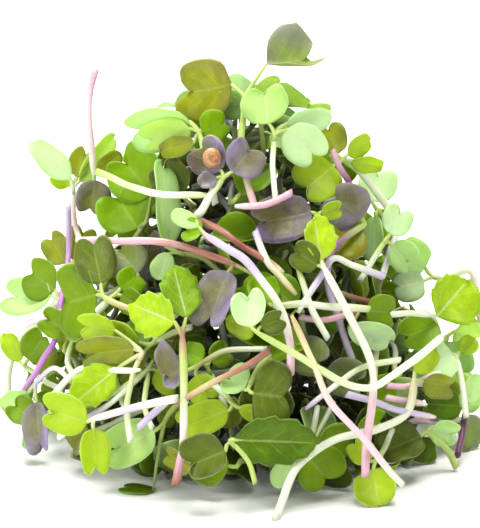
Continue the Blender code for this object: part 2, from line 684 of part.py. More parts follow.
def shellsOf(shape):
    # The separate closed surfaces of a body as lists of faces that share edges, the largest first
    unseen = set(shape.faces)
    shells = []
    while unseen:
        stack = [unseen.pop()]
        shell = list(stack)
        while stack:
            for edge in stack.pop().edges:
                for face in edge.link_faces:
                    if face in unseen:
                        unseen.discard(face)
                        stack.append(face)
                        shell.append(face)
        shells.append(shell)
    return sorted(shells, key=len, reverse=True)


def dropScraps(shape):
    # Keeps the largest shell, so no sealed hollow or loose scrap is left
    for shell in shellsOf(shape)[1:]:
        bmesh.ops.delete(shape, geom=shell, context="FACES")


def tidyBody(obj):
    # One shell with flat faces merged, or with its faces as they were where merging would open it
    shape = bmesh.new()
    shape.from_mesh(obj.data)
    dropScraps(shape)
    plain = shape.copy()
    bmesh.ops.remove_doubles(shape, verts=shape.verts, dist=weld)
    bmesh.ops.dissolve_limit(shape, angle_limit=math.radians(flatEnough), verts=shape.verts,
                             edges=shape.edges)
    bmesh.ops.triangulate(shape, faces=shape.faces)
    closed = all(edge.is_manifold for edge in shape.edges) and len(shellsOf(shape)) == 1
    (shape if closed else plain).to_mesh(obj.data)
    shape.free()
    plain.free()


def fused(name, pieces):
    # One closed body of all the pieces
    base = solid(name, pieces[0])
    if len(pieces) > 1:
        group = bpy.data.collections.new(name + "_parts")
        bpy.context.scene.collection.children.link(group)
        others = [solid(f"{name}_{i}", piece) for i, piece in enumerate(pieces[1:])]
        for other in others:
            bpy.context.scene.collection.objects.unlink(other)
            group.objects.link(other)
        join = base.modifiers.new("join", "BOOLEAN")
        join.operation = "UNION"
        join.operand_type = "COLLECTION"
        join.collection = group
        join.solver = "MANIFOLD"
        graph = bpy.context.evaluated_depsgraph_get()
        mesh = bpy.data.meshes.new_from_object(base.evaluated_get(graph))
        base.modifiers.clear()
        base.data = mesh
        tidyBody(base)
        for other in others:
            bpy.data.objects.remove(other, do_unlink=True)
        bpy.data.collections.remove(group)
    return base


def sprayStalks(spray):
    # Centre line and width of each stem of a spray
    back = spray["back"]
    stalks = []
    for line, width, lineBack in spray["lines"]:
        points = []
        near = None
        for i, (across, up) in reversed(list(enumerate(line))):
            share = i / (len(line) - 1)
            near = place(across, up, back + lineBack * (1.0 - share), near, stemSlope)
            near.z = max(near.z, stemRest * width)
            points.insert(0, near)
        stalks.append((points, width))
    return stalks


def sprayHub(spray):
    hub = place(*spray["hub"], spray["back"])
    hub.z = max(hub.z, hubRest * stemWidth)
    return hub


def sprayLeaves(spray, hub):
    # Points and faces of a spray's leaves
    back = spray["back"]
    leaves = []
    for shape, base, tip, width, roll, fold, curl, leafBack in spray["leaves"]:
        start = place(*base, back + 0.5 * leafBack, hub, leafSlope)
        end = place(*tip, back + leafBack, start, leafSlope)
        facing = towardViewer
        if fold == 0:
            start.z = 0.5 * bladeThickness
            end.z = 0.5 * bladeThickness
            facing = Vector((0.0, 0.0, 1.0))
        leaves.append(leafAt(shape, hub, start, end, width, facing, roll, fold, curl))
    return leaves


def stemTubes(stalks):
    return [tube(smoothPath(points, stemStep), width, headShare * width, stemSides)
            for points, width in stalks]


def buildSpray(name, spray):
    # Makes the stem node and the leaf node, or one node where both are joined
    stalks = sprayStalks(spray)
    joined = spray.get("joined", False)
    if "hub" not in spray:
        return [fused(name + "_stems", stemTubes(stalks))]
    hub = sprayHub(spray)
    leafPieces = sprayLeaves(spray, hub)
    head = stalks[0][0]
    away = (hub - head[-2]).normalized()
    if joined:
        head[-1] = hub + away * (rootedShare * stemWidth)
        return [fused(name, stemTubes(stalks) + leafPieces)]
    knot = 0.5 * knotLength
    knotWidths = [share * stemWidth for share in knotShares]
    leafPieces.insert(0, tube([hub - away * knot, hub + away * knot], *knotWidths, stemSides))
    leaves = fused(name + "_leaves", leafPieces)
    leafTree = grownTree(leaves, Vector())
    for shorter in range(neckTries):
        # The stem stops short of the petioles where they fold back along it
        head[-1] = hub - away * (knot + neckGap + neckStep * shorter)
        stems = fused(name + "_stems", stemTubes(stalks))
        if not leafTree.overlap(grownTree(stems, Vector())):
            return [leaves, stems]
        bpy.data.objects.remove(stems, do_unlink=True)
    print(name, "has no clear neck")
    return [leaves]


def hullPiece():
    # The seed's brown husk, an egg shape
    verts = []
    faces = []
    verts.append(Vector((-1.0, 0.0, 0.0)))
    for i in range(1, hullRings):
        tilt = math.pi * i / hullRings
        for k in range(hullSides):
            turn = 2.0 * math.pi * k / hullSides
            reach = math.sin(tilt)
            verts.append(Vector((-math.cos(tilt), reach * math.cos(turn), reach * math.sin(turn))))
    verts.append(Vector((1.0, 0.0, 0.0)))
    last = len(verts) - 1
    for k in range(hullSides):
        n = (k + 1) % hullSides
        faces.append((0, 1 + n, 1 + k))
        for i in range(hullRings - 2):
            a = 1 + i * hullSides + k
            b = 1 + i * hullSides + n
            faces.append((a, b, b + hullSides, a + hullSides))
        faces.append((last, last - hullSides + k, last - hullSides + n))
    middle = place(*hullPlace, hullBack)
    return [middle + Vector((v.x * hullSize[0], v.y * hullSize[1], v.z * hullSize[2])) * 0.5
            for v in verts], faces


def grownTree(obj, shift):
    # A search tree of an object's surface, grown by half the gap between nodes
    mesh = obj.data
    grow = 0.5 * gap * metre
    points = [vert.co + vert.normal * grow + shift for vert in mesh.vertices]
    return BVHTree.FromPolygons(points, [tuple(poly.vertices) for poly in mesh.polygons])


def boxOf(obj, shift):
    cos = [vert.co + shift for vert in obj.data.vertices]
    low = [min(co[i] for co in cos) for i in range(3)]
    high = [max(co[i] for co in cos) for i in range(3)]
    return low, high


def apart(boxA, boxB):
    margin = gap * metre
    return any(boxA[0][i] > boxB[1][i] + margin or boxB[0][i] > boxA[1][i] + margin for i in range(3))


placedTrees = []


def clearAt(objects, shift):
    # True where none of the objects meets a node that is already placed
    for obj in objects:
        box = boxOf(obj, shift)
        tree = None
        for otherBox, otherTree in placedTrees:
            if apart(box, otherBox):
                continue
            if tree is None:
                tree = grownTree(obj, shift)
            if tree.overlap(otherTree):
                return False
    return True


def settle(objects, shifts):
    # Moves a spray to the first of the shifts where it is clear, and no lower than the surface
    for shift in shifts:
        low = min(boxOf(obj, shift)[0][2] for obj in objects)
        lifted = shift + Vector((0.0, 0.0, max(0.0, -low)))
        if clearAt(objects, lifted):
            for obj in objects:
                for vert in obj.data.vertices:
                    vert.co += lifted
                obj.data.update()
                placedTrees.append((boxOf(obj, Vector()), grownTree(obj, Vector())))
            return lifted / metre
    return None


def sprayShifts():
    # Small moves, mostly along the line of sight, the smallest first
    away = -towardViewer * metre
    side = Vector((1.0, 0.0, 0.0)) * metre
    rise = Vector((0.0, lookSin, lookCos)) * metre
    moves = []
    for step in range(*stepsAway):
        for across in range(-stepsAside, stepsAside + 1):
            for up in range(-stepsUp, stepsUp + 1):
                aside = asideCost * (abs(across) + abs(up))
                moves.append((abs(step) * (backCost if step > 0 else frontCost) + aside, step, across, up))
    moves.sort()
    return [(away * step + side * across + rise * up) * settleStep for cost, step, across, up in moves]


def spread(span, number, count, rng):
    # An even place within a span for one of a count, with a little play
    step = (span[1] - span[0]) / count
    return span[0] + step * (number + rng.uniform(*bunchLook["evenness"]))


def bunchSeedlings(bunch):
    # A few seedlings whose stems cross, with leaves to the outside of the heap: for each the points of
    # its stem, and base, tip, length and facing of its two leaves
    rng = random.Random(bunch["seed"])
    turn = math.radians(0.5 * sum(bunch["turn"]))
    middleHeight = 0.5 * sum(bunch["rise"]) * heapHeight
    out = Vector((math.cos(turn), math.sin(turn), 0.0))
    inner = max(heapRadius(middleHeight) - rng.uniform(*bunchLook["knotDepth"]), bladeThickness)
    knotHeight = max(rng.uniform(*bunchLook["knotRise"]) * middleHeight, bunchLook["knotLow"])
    knot = out * inner + Vector((0.0, 0.0, knotHeight))
    seedlings = []
    for row in range(bunch["rows"]):
        for column in range(bunch["columns"]):
            swing = math.radians(spread(bunch["turn"], column, bunch["columns"], rng))
            lift = spread(bunch["rise"], row, bunch["rows"], rng)
            headOut = Vector((math.cos(swing), math.sin(swing), 0.0))
            head = headOut * (heapRadius(lift * heapHeight) - rng.uniform(*bunchLook["sink"]))
            head.z = lift * heapHeight
            tail = knot + (knot - head).normalized() * rng.uniform(*bunchLook["tail"])
            tail.z = max(tail.z, bunchLook["tailLow"])
            bow = headOut * rng.uniform(-bunchLook["bow"], bunchLook["bow"])
            line = [tail, knot, knot.lerp(head, 0.5) + bow, head]
            slope = headOut + Vector((0.0, 0.0, bunchLook["lean"][0] * lift + bunchLook["lean"][1]))
            slope.normalize()
            level = headOut.cross(Vector((0.0, 0.0, 1.0))).normalized()
            leaves = []
            for sign in (-1.0, 1.0):
                stray = rng.uniform(-bunchLook["stray"], bunchLook["stray"])
                way = (level * sign + slope.cross(level) * stray).normalized()
                length = rng.uniform(*bunchLook["leafLength"])
                base = head + way * bunchLook["petiole"]
                tip = base + way * length
                base.z = max(base.z, bunchLook["leafLow"])
                tip.z = max(tip.z, bunchLook["leafLow"])
                play = Vector([rng.uniform(-bunchLook["play"], bunchLook["play"]) for axis in range(3)])
                leaves.append((base, tip, length, slope + play))
            seedlings.append((line, leaves))
    return seedlings


def bunchPieces(bunch):
    # Points and faces of the stems and leaves of a bunch
    pieces = []
    for line, leaves in bunchSeedlings(bunch):
        head = line[-1]
        pieces.append(tube(smoothPath(line, fillStemStep), stemWidth, headShare * stemWidth, fillStemSides))
        for base, tip, length, facing in leaves:
            pieces.append(leafAt("fill", head, base, tip, length * bunchLook["leafBroad"], facing, 0.0,
                                 bunchLook["fold"], bunchLook["curl"]))
    return pieces


nodes = []
mats = {}


def paint(obj, name, colour, roughness):
    if name not in mats:
        mats[name] = material(name, colour, roughness)
    obj.data.materials.clear()
    obj.data.materials.append(mats[name])
    for poly in obj.data.polygons:
        poly.material_index = 0
        poly.use_smooth = len(poly.vertices) < 5


def frontFirst(item):
    # Sprays that lie flat come first, then those nearest the viewer
    name, spray = item
    return (not spray.get("low", False), spray["back"])


shifts = sprayShifts()
for name, spray in sorted(sprays.items(), key=frontFirst):
    made = buildSpray(name, spray)
    moved = settle(made, shifts)
    print(name, "moved", moved)
    for obj in made:
        if obj.name.endswith("_stems"):
            paint(obj, "stem_" + spray["stem"], stemColours[spray["stem"]], stemRoughness)
        else:
            paint(obj, "leaf_" + spray["leaf"], leafColours[spray["leaf"]], leafRoughness)
    if moved is None:
        for obj in made:
            bpy.data.objects.remove(obj, do_unlink=True)
        continue
    nodes += made

hull = fused("seed_hull", [hullPiece()])
print("hull", settle([hull], shifts))
paint(hull, "hull_brown", hullColour, leafRoughness)
nodes.append(hull)

for bunch in bunches:
    made = [fused(bunch["name"], bunchPieces(bunch))]
    drop = -boxOf(made[0], Vector())[0][2] if bunch.get("grounded", False) else 0.0
    print(bunch["name"], settle(made, [Vector((0.0, 0.0, drop))]))
    paint(made[0], "leaf_green", leafColours["green"], leafRoughness)
    nodes += made

# Centres the heap on the origin, with its lowest point on the surface
boxes = [boxOf(obj, Vector()) for obj in nodes]
low = [min(box[0][i] for box in boxes) for i in range(3)]
high = [max(box[1][i] for box in boxes) for i in range(3)]
centre = Vector((0.5 * (low[0] + high[0]), 0.5 * (low[1] + high[1]), low[2]))
for obj in nodes:
    for vert in obj.data.vertices:
        vert.co -= centre
    obj.data.update()
triangles = sum(len(face.vertices) - 2 for obj in nodes for face in obj.data.polygons)
print("nodes", len(nodes), "triangles", triangles)
print("size", [round((high[i] - low[i]) / metre, 2) for i in range(3)])
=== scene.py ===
import math
import random

import bpy
from mathutils import Matrix, Vector, noise


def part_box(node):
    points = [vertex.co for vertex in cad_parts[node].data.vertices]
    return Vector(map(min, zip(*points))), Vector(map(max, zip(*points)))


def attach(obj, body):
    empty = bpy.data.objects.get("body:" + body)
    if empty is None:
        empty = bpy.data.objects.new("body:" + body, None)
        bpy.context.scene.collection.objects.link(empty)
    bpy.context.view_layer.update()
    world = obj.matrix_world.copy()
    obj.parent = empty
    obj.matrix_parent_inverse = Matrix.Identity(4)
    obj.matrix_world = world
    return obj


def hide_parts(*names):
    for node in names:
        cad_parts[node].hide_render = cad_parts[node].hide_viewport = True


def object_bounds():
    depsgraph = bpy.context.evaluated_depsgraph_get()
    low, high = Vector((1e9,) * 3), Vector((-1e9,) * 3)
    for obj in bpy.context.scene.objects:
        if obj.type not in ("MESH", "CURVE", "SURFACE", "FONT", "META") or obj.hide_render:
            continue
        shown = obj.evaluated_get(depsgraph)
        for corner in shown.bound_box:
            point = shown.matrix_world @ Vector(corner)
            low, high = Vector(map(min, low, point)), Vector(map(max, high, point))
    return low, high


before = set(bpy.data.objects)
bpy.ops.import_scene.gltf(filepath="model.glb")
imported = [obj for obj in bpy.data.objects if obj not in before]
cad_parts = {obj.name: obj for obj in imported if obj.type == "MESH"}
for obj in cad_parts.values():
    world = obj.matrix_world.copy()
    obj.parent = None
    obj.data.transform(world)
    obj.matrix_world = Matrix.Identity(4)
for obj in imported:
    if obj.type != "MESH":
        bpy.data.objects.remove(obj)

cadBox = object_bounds()
print("frame loaded,", len(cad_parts), "nodes")

# sizes are in millimetres here and become metres in newPiece
metre = 0.001
heapWidth = 116.0
heapHeight = 103.0
domeBulge = 1.35
domeTaper = 0.9
lookDown = math.radians(16.0)  # the heap is laid out as it is seen from this angle
lookSin = math.sin(lookDown)
lookCos = math.cos(lookDown)
towardViewer = Vector((0.0, -lookCos, lookSin))
stemSlope = 1.4
leafSlope = 0.55
stemWidth = 1.9
petioleWidth = 1.3
bladeThickness = 0.7
boxMargin = 0.01  # the looks stay this far inside the part's box


def heapRadius(height):
    share = min(max(height / heapHeight, 0.0), 1.0)
    return 0.5 * heapWidth * (1.0 - share ** domeBulge) ** domeTaper


def faceDepth(across, up):
    # how far back the heap's front face lies where it is seen from the front
    best = None
    depth = -72.0
    limit = min(6.0, up / lookSin)
    while depth <= max(limit, -71.0):
        height = (up - depth * lookSin) / lookCos
        outside = math.hypot(across, depth) - heapRadius(height)
        if outside <= 0.0:
            return depth
        if best is None or outside < best[0]:
            best = (outside, depth)
        depth += 0.5
    return best[1]


def place(across, up, back, near=None, steepest=1.0):
    depth = faceDepth(across, up) + back
    if near is not None:
        nearUp = near.z * lookCos + near.y * lookSin
        reach = steepest * math.hypot(across - near.x, up - nearUp)
        depth = min(max(depth, near.y - reach), near.y + reach)
        depth = min(depth, up / lookSin)
    return Vector((across, depth, max((up - depth * lookSin) / lookCos, 0.0)))


def smoothPath(points, step):
    result = []
    for i in range(len(points) - 1):
        before = points[max(i - 1, 0)]
        start = points[i]
        end = points[i + 1]
        after = points[min(i + 2, len(points) - 1)]
        count = max(1, round((end - start).length / step))
        for k in range(count):
            t = k / count
            result.append(0.5 * (2.0 * start + (end - before) * t
                                 + (2.0 * before - 5.0 * start + 4.0 * end - after) * t * t
                                 + (3.0 * start - before - 3.0 * end + after) * t * t * t))
    result.append(points[-1].copy())
    return result


def curledPoint(x, y, length, fold, curl, soft=0.0):
    foldTurn = math.radians(fold)
    curlTurn = math.radians(curl)
    flatX = x * math.cos(foldTurn)
    rise = (math.hypot(x, soft) - soft) * math.sin(foldTurn)
    if curl == 0:
        return Vector((flatX, y, rise))
    radius = 0.5 * length / math.sin(0.5 * curlTurn)
    tilt = curlTurn * (y / length - 0.5)
    chordY = radius * math.sin(tilt) + 0.5 * length
    chordZ = radius * (math.cos(0.5 * curlTurn) - math.cos(tilt))
    return Vector((flatX, chordY - rise * math.sin(tilt), chordZ + rise * math.cos(tilt)))


def bladeTurn(base, tip, facing, roll):
    along = (tip - base).normalized()
    facing = (facing - along * facing.dot(along)).normalized()
    facing = Matrix.Rotation(math.radians(roll), 3, along) @ facing
    return Matrix((along.cross(facing), along, facing)).transposed()


# half outline and rib of each blade, as shares of half width and of length
bladeShapes = {
    "heart": {
        "edge": [(0.62, 0.06), (1.0, 0.42), (0.90, 0.84), (0.48, 1.0), (0.0, 0.82)],
        "rib": [0.10, 0.32, 0.55, 0.72, 0.82],
    },
    "saw": {
        "edge": [(0.62, 0.10), (0.66, 0.24), (1.0, 0.36), (0.84, 0.54), (0.86, 0.70), (0.46, 0.86),
                 (0.0, 1.0)],
        "rib": [0.12, 0.26, 0.40, 0.54, 0.68, 0.84, 1.0],
    },
    "fill": {
        "edge": [(1.0, 0.40), (0.78, 0.94), (0.0, 0.84)],
        "rib": [0.32, 0.66, 0.84],
    },
    "lens": {
        "edge": [(0.80, 0.18), (1.0, 0.50), (0.72, 0.86), (0.0, 0.98)],
        "rib": [0.20, 0.48, 0.76, 0.98],
    },
}


# colours as they look on the screen: middle of the blade, margin and underside
leafTints = {
    "lime": ((182, 206, 58), (160, 190, 44), (206, 224, 122)),
    "brightLime": ((192, 216, 62), (176, 206, 50), (212, 230, 122)),
    "paleLime": ((208, 236, 132), (186, 222, 100), (222, 240, 168)),
    "green": ((146, 176, 36), (120, 154, 26), (176, 198, 92)),
    "leafy": ((130, 154, 36), (106, 132, 26), (162, 182, 84)),
    "deep": ((94, 120, 18), (74, 100, 12), (132, 154, 66)),
    "mint": ((200, 232, 158), (172, 216, 124), (216, 238, 186)),
    "leafMint": ((194, 224, 138), (164, 208, 108), (212, 232, 170)),
    "greyMint": ((190, 210, 168), (164, 192, 142), (204, 220, 184)),
    "paleMint": ((216, 240, 192), (194, 228, 162), (228, 244, 212)),
    "olive": ((152, 160, 58), (122, 130, 56), (166, 174, 104)),
    "darkOlive": ((102, 118, 48), (80, 86, 50), (132, 144, 92)),
    "greyOlive": ((136, 140, 84), (116, 108, 112), (164, 164, 134)),
    "gold": ((152, 158, 26), (128, 122, 46), (170, 168, 90)),
    "sage": ((150, 168, 100), (134, 140, 108), (174, 176, 150)),
    "slate": ((124, 122, 92), (128, 116, 136), (158, 150, 172)),
    "violet": ((104, 96, 64), (92, 74, 92), (146, 130, 160)),
    "darkPurple": ((98, 92, 62), (82, 66, 76), (138, 124, 142)),
    "greyLilac": ((134, 130, 116), (150, 136, 180), (172, 162, 194)),
}
stemTints = {
    "white": (240, 244, 224),
    "cream": (234, 228, 184),
    "lime": (190, 212, 116),
    "paleLime": (214, 228, 164),
    "blush": (240, 214, 222),
    "pink": (228, 184, 198),
    "lilac": (212, 198, 228),
    "magenta": (190, 128, 200),
    "plum": (150, 92, 150),
    "rust": (172, 118, 100),
    "red": (142, 82, 66),
    "tan": (206, 188, 138),
    "olive": (168, 168, 96),
    "purple": (104, 66, 92),
}


# purple flush on some leaves: colour, the lobe that it lies on, and strength
leafFlush = {
    "gold": ((118, 96, 100), 1.0, 0.40),
    "sage": ((150, 140, 158), -1.0, 0.80),
    "olive": ((126, 118, 86), 1.0, 0.35),
    "greyOlive": ((136, 124, 142), 1.0, 0.60),
    "slate": ((150, 136, 182), -1.0, 0.75),
    "violet": ((124, 106, 158), -1.0, 0.80),
    "darkPurple": ((146, 134, 178), 1.0, 0.80),
    "greyLilac": ((92, 94, 78), 1.0, 0.60),
}


def screenColour(rgb, richness=1.0):
    grey = 0.3 * rgb[0] + 0.6 * rgb[1] + 0.1 * rgb[2]
    strong = [min(max(grey + (c - grey) * richness, 0.0), 255.0) for c in rgb]
    return Vector([(c / 255.0) ** 2.2 for c in strong])


# Each spray as it is laid out on the part, with the colour of each leaf and the colours along each stem.
# A leaf is (shape, base, tip, width, roll, fold, curl, back), a line is (places from cut end to head, width, back).
sprays = {
    "crown": {
        "back": 3.0, "hub": (0.0, 82.0), "tints": ["gold", "sage"], "stems": [["pink", "lime", "lime"]],
        "lines": [([(2.5, 55), (0.5, 62), (0, 66), (-0.8, 72), (-0.3, 77), (0, 81.2)], 1.7, 0.0)],
        "leaves": [
            ("heart", (-3.2, 84.4), (-15.4, 82.4), 16, 8, 12, 25, 0),
            ("heart", (5.4, 89.6), (16.4, 90.4), 18, -44, 40, 12, 1),
        ],
    },
    "limeTop": {
        "back": 1.0, "hub": (7.0, 73.0),
        "tints": ["leafMint", "paleMint", "paleMint"], "stems": [["white", "white", "lime"]],
        "lines": [([(7.2, 56.5), (6.8, 61), (6.5, 66), (6.6, 72)], 1.4, 0.0)],
        "leaves": [
            ("heart", (5.6, 75), (4.2, 83.6), 12, -12, 18, 20, -1),
            ("heart", (9.8, 73.4), (17.2, 66.6), 10.5, 12, 14, 20, -2),
            ("lens", (10, 75), (20.8, 76.6), 6.5, 26, 20, 15, 1),
        ],
    },
    "mintLeft": {
        "back": 2.0, "hub": (-10.8, 73.6),
        "tints": ["mint", "paleLime", "green", "olive"], "stems": [["white", "lime"]],
        "lines": [([(-7, 56), (-8.5, 64), (-10.4, 72.8)], 1.6, 2.0)],
        "leaves": [
            ("heart", (-13, 75.4), (-27.6, 73), 12, -26, 20, 16, 3),
            ("heart", (-13, 73.8), (-24, 71), 8.5, -16, 20, 18, -1),
            ("heart", (-10, 73.2), (-4.2, 75.8), 8.5, 12, 20, 20, 0),
            ("lens", (-12, 70.6), (-20, 68.6), 5.5, 10, 20, 10, 1),
        ],
    },
    "purpleTop": {
        "back": -1.0, "hub": (-4.2, 62.6),
        "tints": ["darkPurple", "slate", "slate"],
        "stems": [["white", "white", "lime"], ["lime", "paleLime", "white", "paleLime"]],
        "lines": [([(-11.2, 53), (-9.5, 54.5), (-7.5, 58), (-5.2, 61.6)], 2.0, 0.0),
                  ([(-34.5, 63.8), (-31, 62.5), (-27, 60.5), (-22, 58.8), (-17, 58.2), (-12, 58.2),
                    (-7.5, 58)], 1.8, 0.0)],
        "leaves": [
            ("heart", (-5.2, 64), (-10.4, 70.2), 11, -18, 24, 22, 0),
            ("heart", (-2.4, 63.6), (2.4, 69.8), 11.5, 18, 24, 22, 0),
            ("lens", (-6.2, 62.2), (-10.2, 60.4), 4.8, 30, 20, 24, -2),
        ],
    },
    "limeRight": {
        "back": 1.0, "hub": (22.5, 66.6),
        "tints": ["lime", "olive", "lime", "brightLime"], "stems": [["white", "white", "lime"]],
        "lines": [([(34, 55), (30, 60), (26, 64.5), (23.8, 66.2)], 1.8, 0.0)],
        "leaves": [
            ("heart", (20.5, 65), (12.8, 58.8), 12.5, 8, 16, 24, -1),
            ("heart", (21.5, 68), (19, 75), 7.5, 20, 24, 18, 3),
            ("lens", (24.2, 67.8), (29.5, 71.5), 6, 25, 20, 15, 1),
            ("lens", (25, 66.2), (32.5, 65.2), 5, 30, 20, 15, 0),
        ],
    },
    "upright": {
        "back": 6.0, "hub": (-36.0, 62.6),
        "tints": ["greyOlive", "olive"], "stems": [["pink", "blush", "blush", "white"]],
        "lines": [([(-35.5, 87.5), (-36.6, 83), (-37, 77), (-36.5, 70), (-36.1, 63.8)], 1.7, 0.0)],
        "leaves": [
            ("heart", (-35.8, 61.6), (-37, 53.6), 9.5, -16, 22, 20, -1),
            ("lens", (-34.8, 63.8), (-29.4, 68.2), 5.5, 20, 25, 10, -2),
        ],
    },
    "strap": {
        "back": 3.0, "hub": (-41.0, 61.0),
        "tints": ["paleMint", "brightLime", "olive", "paleLime"], "stems": [["white", "blush", "white"]],
        "lines": [([(-38.5, 45), (-40, 50), (-40.6, 55), (-41, 60.2)], 1.5, 0.0)],
        "leaves": [
            ("lens", (-41.6, 62.6), (-51, 71.4), 8, 26, 26, 20, 0),
            ("lens", (-42, 60.8), (-46.2, 63.6), 5, 10, 24, 20, 1),
            ("heart", (-40.0, 63), (-37.5, 69.5), 6, -20, 25, 15, 5),
            ("lens", (-39.2, 62), (-31, 73), 6, 25, 25, 12, 7),
        ],
    },
    "greenHeart": {
        "back": 3.0, "hub": (-23.0, 52.5),
        "tints": ["green", "green"], "stems": [["lime", "lime"]],
        "lines": [([(-33.8, 35.3), (-31.5, 40), (-29, 44), (-26, 48.5), (-23.2, 51.6)], 1.4, -3.0)],
        "leaves": [
            ("heart", (-25.4, 50.4), (-30.8, 59.2), 15.5, 10, 14, 20, -1),
            ("heart", (-22.4, 58.4), (-29.8, 68), 14.5, -14, 16, 24, 1),
        ],
    },
    "mintNarrow": {
        "back": -1.0, "hub": (-16.2, 44.6),
        "tints": ["mint", "mint"], "stems": [["lime", "lime"]],
        "lines": [([(-4, 38), (-10, 43), (-15.4, 44.6)], 1.4, 2.0)],
        "leaves": [
            ("lens", (-18.6, 46), (-20, 66), 8.5, 36, 24, -14, -1),
            ("lens", (-18.2, 44.4), (-20.6, 38), 6.5, 24, 24, 20, -1),
        ],
    },
    "pinkLong": {
        "back": 0.0, "hub": (-1.6, 41.6),
        "tints": ["slate", "green"], "stems": [["blush", "pink", "pink", "rust", "rust"]],
        "lines": [([(-39, 47.3), (-30, 47.3), (-20.5, 47), (-14, 46), (-8, 44), (-2.8, 41.9)], 1.9, -1.0)],
        "leaves": [
            ("heart", (-3.4, 40), (-8.6, 27), 11, 24, 26, 18, 1),
            ("heart", (2.4, 39.4), (6.4, 31), 9, -14, 20, 20, 2),
        ],
    },
    "centre": {
        "back": -3.0, "hub": (-9.8, 48.6),
        "tints": ["green", "mint"], "stems": [["pink", "blush", "white", "white", "lilac", "lilac", "pink"]],
        "lines": [([(10.3, 15.6), (10.2, 22), (9, 28), (7, 33), (4, 37.5), (0, 42.5), (-4, 45),
                    (-8.8, 47.8)], 2.0, -1.0)],
        "leaves": [
            ("heart", (-10.4, 49), (-14.4, 49.6), 6.5, 20, 20, 15, 1),
            ("lens", (-11.2, 50.6), (-17.6, 53.6), 4.5, 10, 20, 15, 1),
        ],
    },
    "darkPurple": {
        "back": 0.0, "hub": (17.0, 53.6),
        "tints": ["violet", "lime"], "stems": [["pink", "lime"]],
        "lines": [([(20, 44), (19.4, 49), (17.4, 53)], 1.7, 4.0)],
        "leaves": [
            ("heart", (15.6, 54), (1.6, 51.2), 12, 10, 18, 24, 0),
            ("heart", (18, 54), (22.5, 55), 5, 20, 20, 15, 1),
        ],
    },
    "brownCross": {
        "back": -3.0, "tints": [],
        "stems": [["pink", "rust", "rust", "red", "rust", "cream"], ["lilac", "white", "cream", "tan"]],
        "lines": [([(-14.5, 53.5), (-6, 49.6), (-2, 46.8), (0, 45.5), (5, 42.6), (9, 39.6)], 1.8, 0.0),
                  ([(2.3, 49.5), (5, 42.6), (8, 39), (12, 34.4)], 1.7, 0.0)],
        "leaves": [],
    },
    "purpleGold": {
        "back": -1.0, "hub": (28.6, 51.4),
        "tints": ["slate", "gold"], "stems": [["lilac", "lilac", "plum", "lime"]],
        "lines": [([(25.3, 19.3), (22, 29), (19.6, 38), (21.5, 46), (27.8, 50.8)], 1.8, 4.0)],
        "leaves": [
            ("heart", (27.6, 52.6), (20.4, 58.4), 13.5, -10, 20, 24, -1),
            ("heart", (27.6, 50.2), (19.4, 46.2), 13.5, 10, 20, 24, -1),
        ],
    },
    "longWhite": {
        "back": -5.0, "hub": (18.2, 41.4),
        "tints": ["brightLime", "darkOlive"],
        "stems": [["pink", "pink", "blush", "white", "white", "white", "white"]],
        "lines": [([(28, -7.5), (28.2, -2), (28.8, 3), (30, 13), (29.7, 18), (28, 23), (23.5, 31.5),
                    (18.9, 40.4)], 2.0, -2.0)],
        "leaves": [
            ("saw", (17.8, 42.8), (16.2, 53), 9, 20, 20, 16, 1),
            ("heart", (16.8, 41.6), (11.2, 45.4), 8, -10, 22, 20, 2),
        ],
    },
    "creamCup": {
        "back": -5.0, "hub": (2.2, 26.2),
        "tints": ["paleMint", "darkOlive"],
        "stems": [["white", "white", "white", "paleLime", "lime"], ["white", "blush", "blush", "cream", "tan"]],
        "lines": [([(45.7, 24.5), (40, 20), (31, 14), (27, 13.2), (22, 14.5), (16, 18), (12, 20.6), (3.2, 26)],
                   1.8, -1.0),
                  ([(36.5, -9.5), (33, -6), (27, 1.5), (19.5, 10), (16, 18), (14, 22), (10.5, 30)], 1.7, -1.0)],
        "leaves": [
            ("heart", (1.0, 27.4), (0.2, 35.6), 9.5, -8, 30, 22, 1),
            ("heart", (3.4, 27.4), (8.4, 29.4), 6, 10, 22, 18, 3),
        ],
    },
    "star": {
        "back": -4.0, "hub": (6.4, 31.6),
        "tints": ["green"],
        "stems": [["paleLime", "white", "white", "lime"], ["lilac", "white", "lilac", "white"], ["white", "white", "lime"]],
        "lines": [([(29, 31), (20, 31.8), (15.2, 32.2), (13.4, 32.3), (7.6, 31.6)], 1.8, 0.0),
                  ([(32.5, 38.5), (25, 41.5), (20.5, 43), (17, 38), (14.6, 34.2), (13.4, 32.3), (12.2, 30.2)],
                   1.7, 0.0),
                  ([(19.2, 24.2), (16.5, 29), (15.2, 32.2), (12, 41)], 1.6, 0.0)],
        "leaves": [
            ("heart", (5.4, 32.6), (3.4, 38.4), 8, 10, 20, 20, 2),
        ],
    },
    "frontArc": {
        "back": -3.0, "hub": (40.0, 14.8),
        "tints": ["olive", "lime"],
        "stems": [["white", "white", "white", "white", "cream"], ["lilac", "lilac", "lilac", "blush"]],
        "lines": [([(7.5, -17.5), (8.5, -14.6), (11, -8), (14, -4), (22, 1), (32, 3.2), (38.5, 7),
                    (39.7, 13.6)], 2.0, -2.0),
                  ([(24, 11.3), (30, 9.6), (35, 7.8), (38.5, 7), (45, 5.6)], 1.6, -2.0)],
        "leaves": [
            ("heart", (42.4, 14), (49.4, 12.6), 7, 24, 20, 15, 1),
            ("lens", (40.2, 16.4), (45.4, 21.4), 6, 10, 22, 15, 2),
        ],
    },
    "fork": {
        "back": -2.0, "hub": (-14.5, 25.6),
        "tints": ["brightLime", "green"],
        "stems": [["rust", "pink", "white", "paleLime", "lime", "rust"], ["rust", "rust", "tan", "rust"]],
        "lines": [([(-16, -9.2), (-15, -4), (-14.3, 0), (-14, 10.6), (-14.5, 24.4)], 2.1, -2.0),
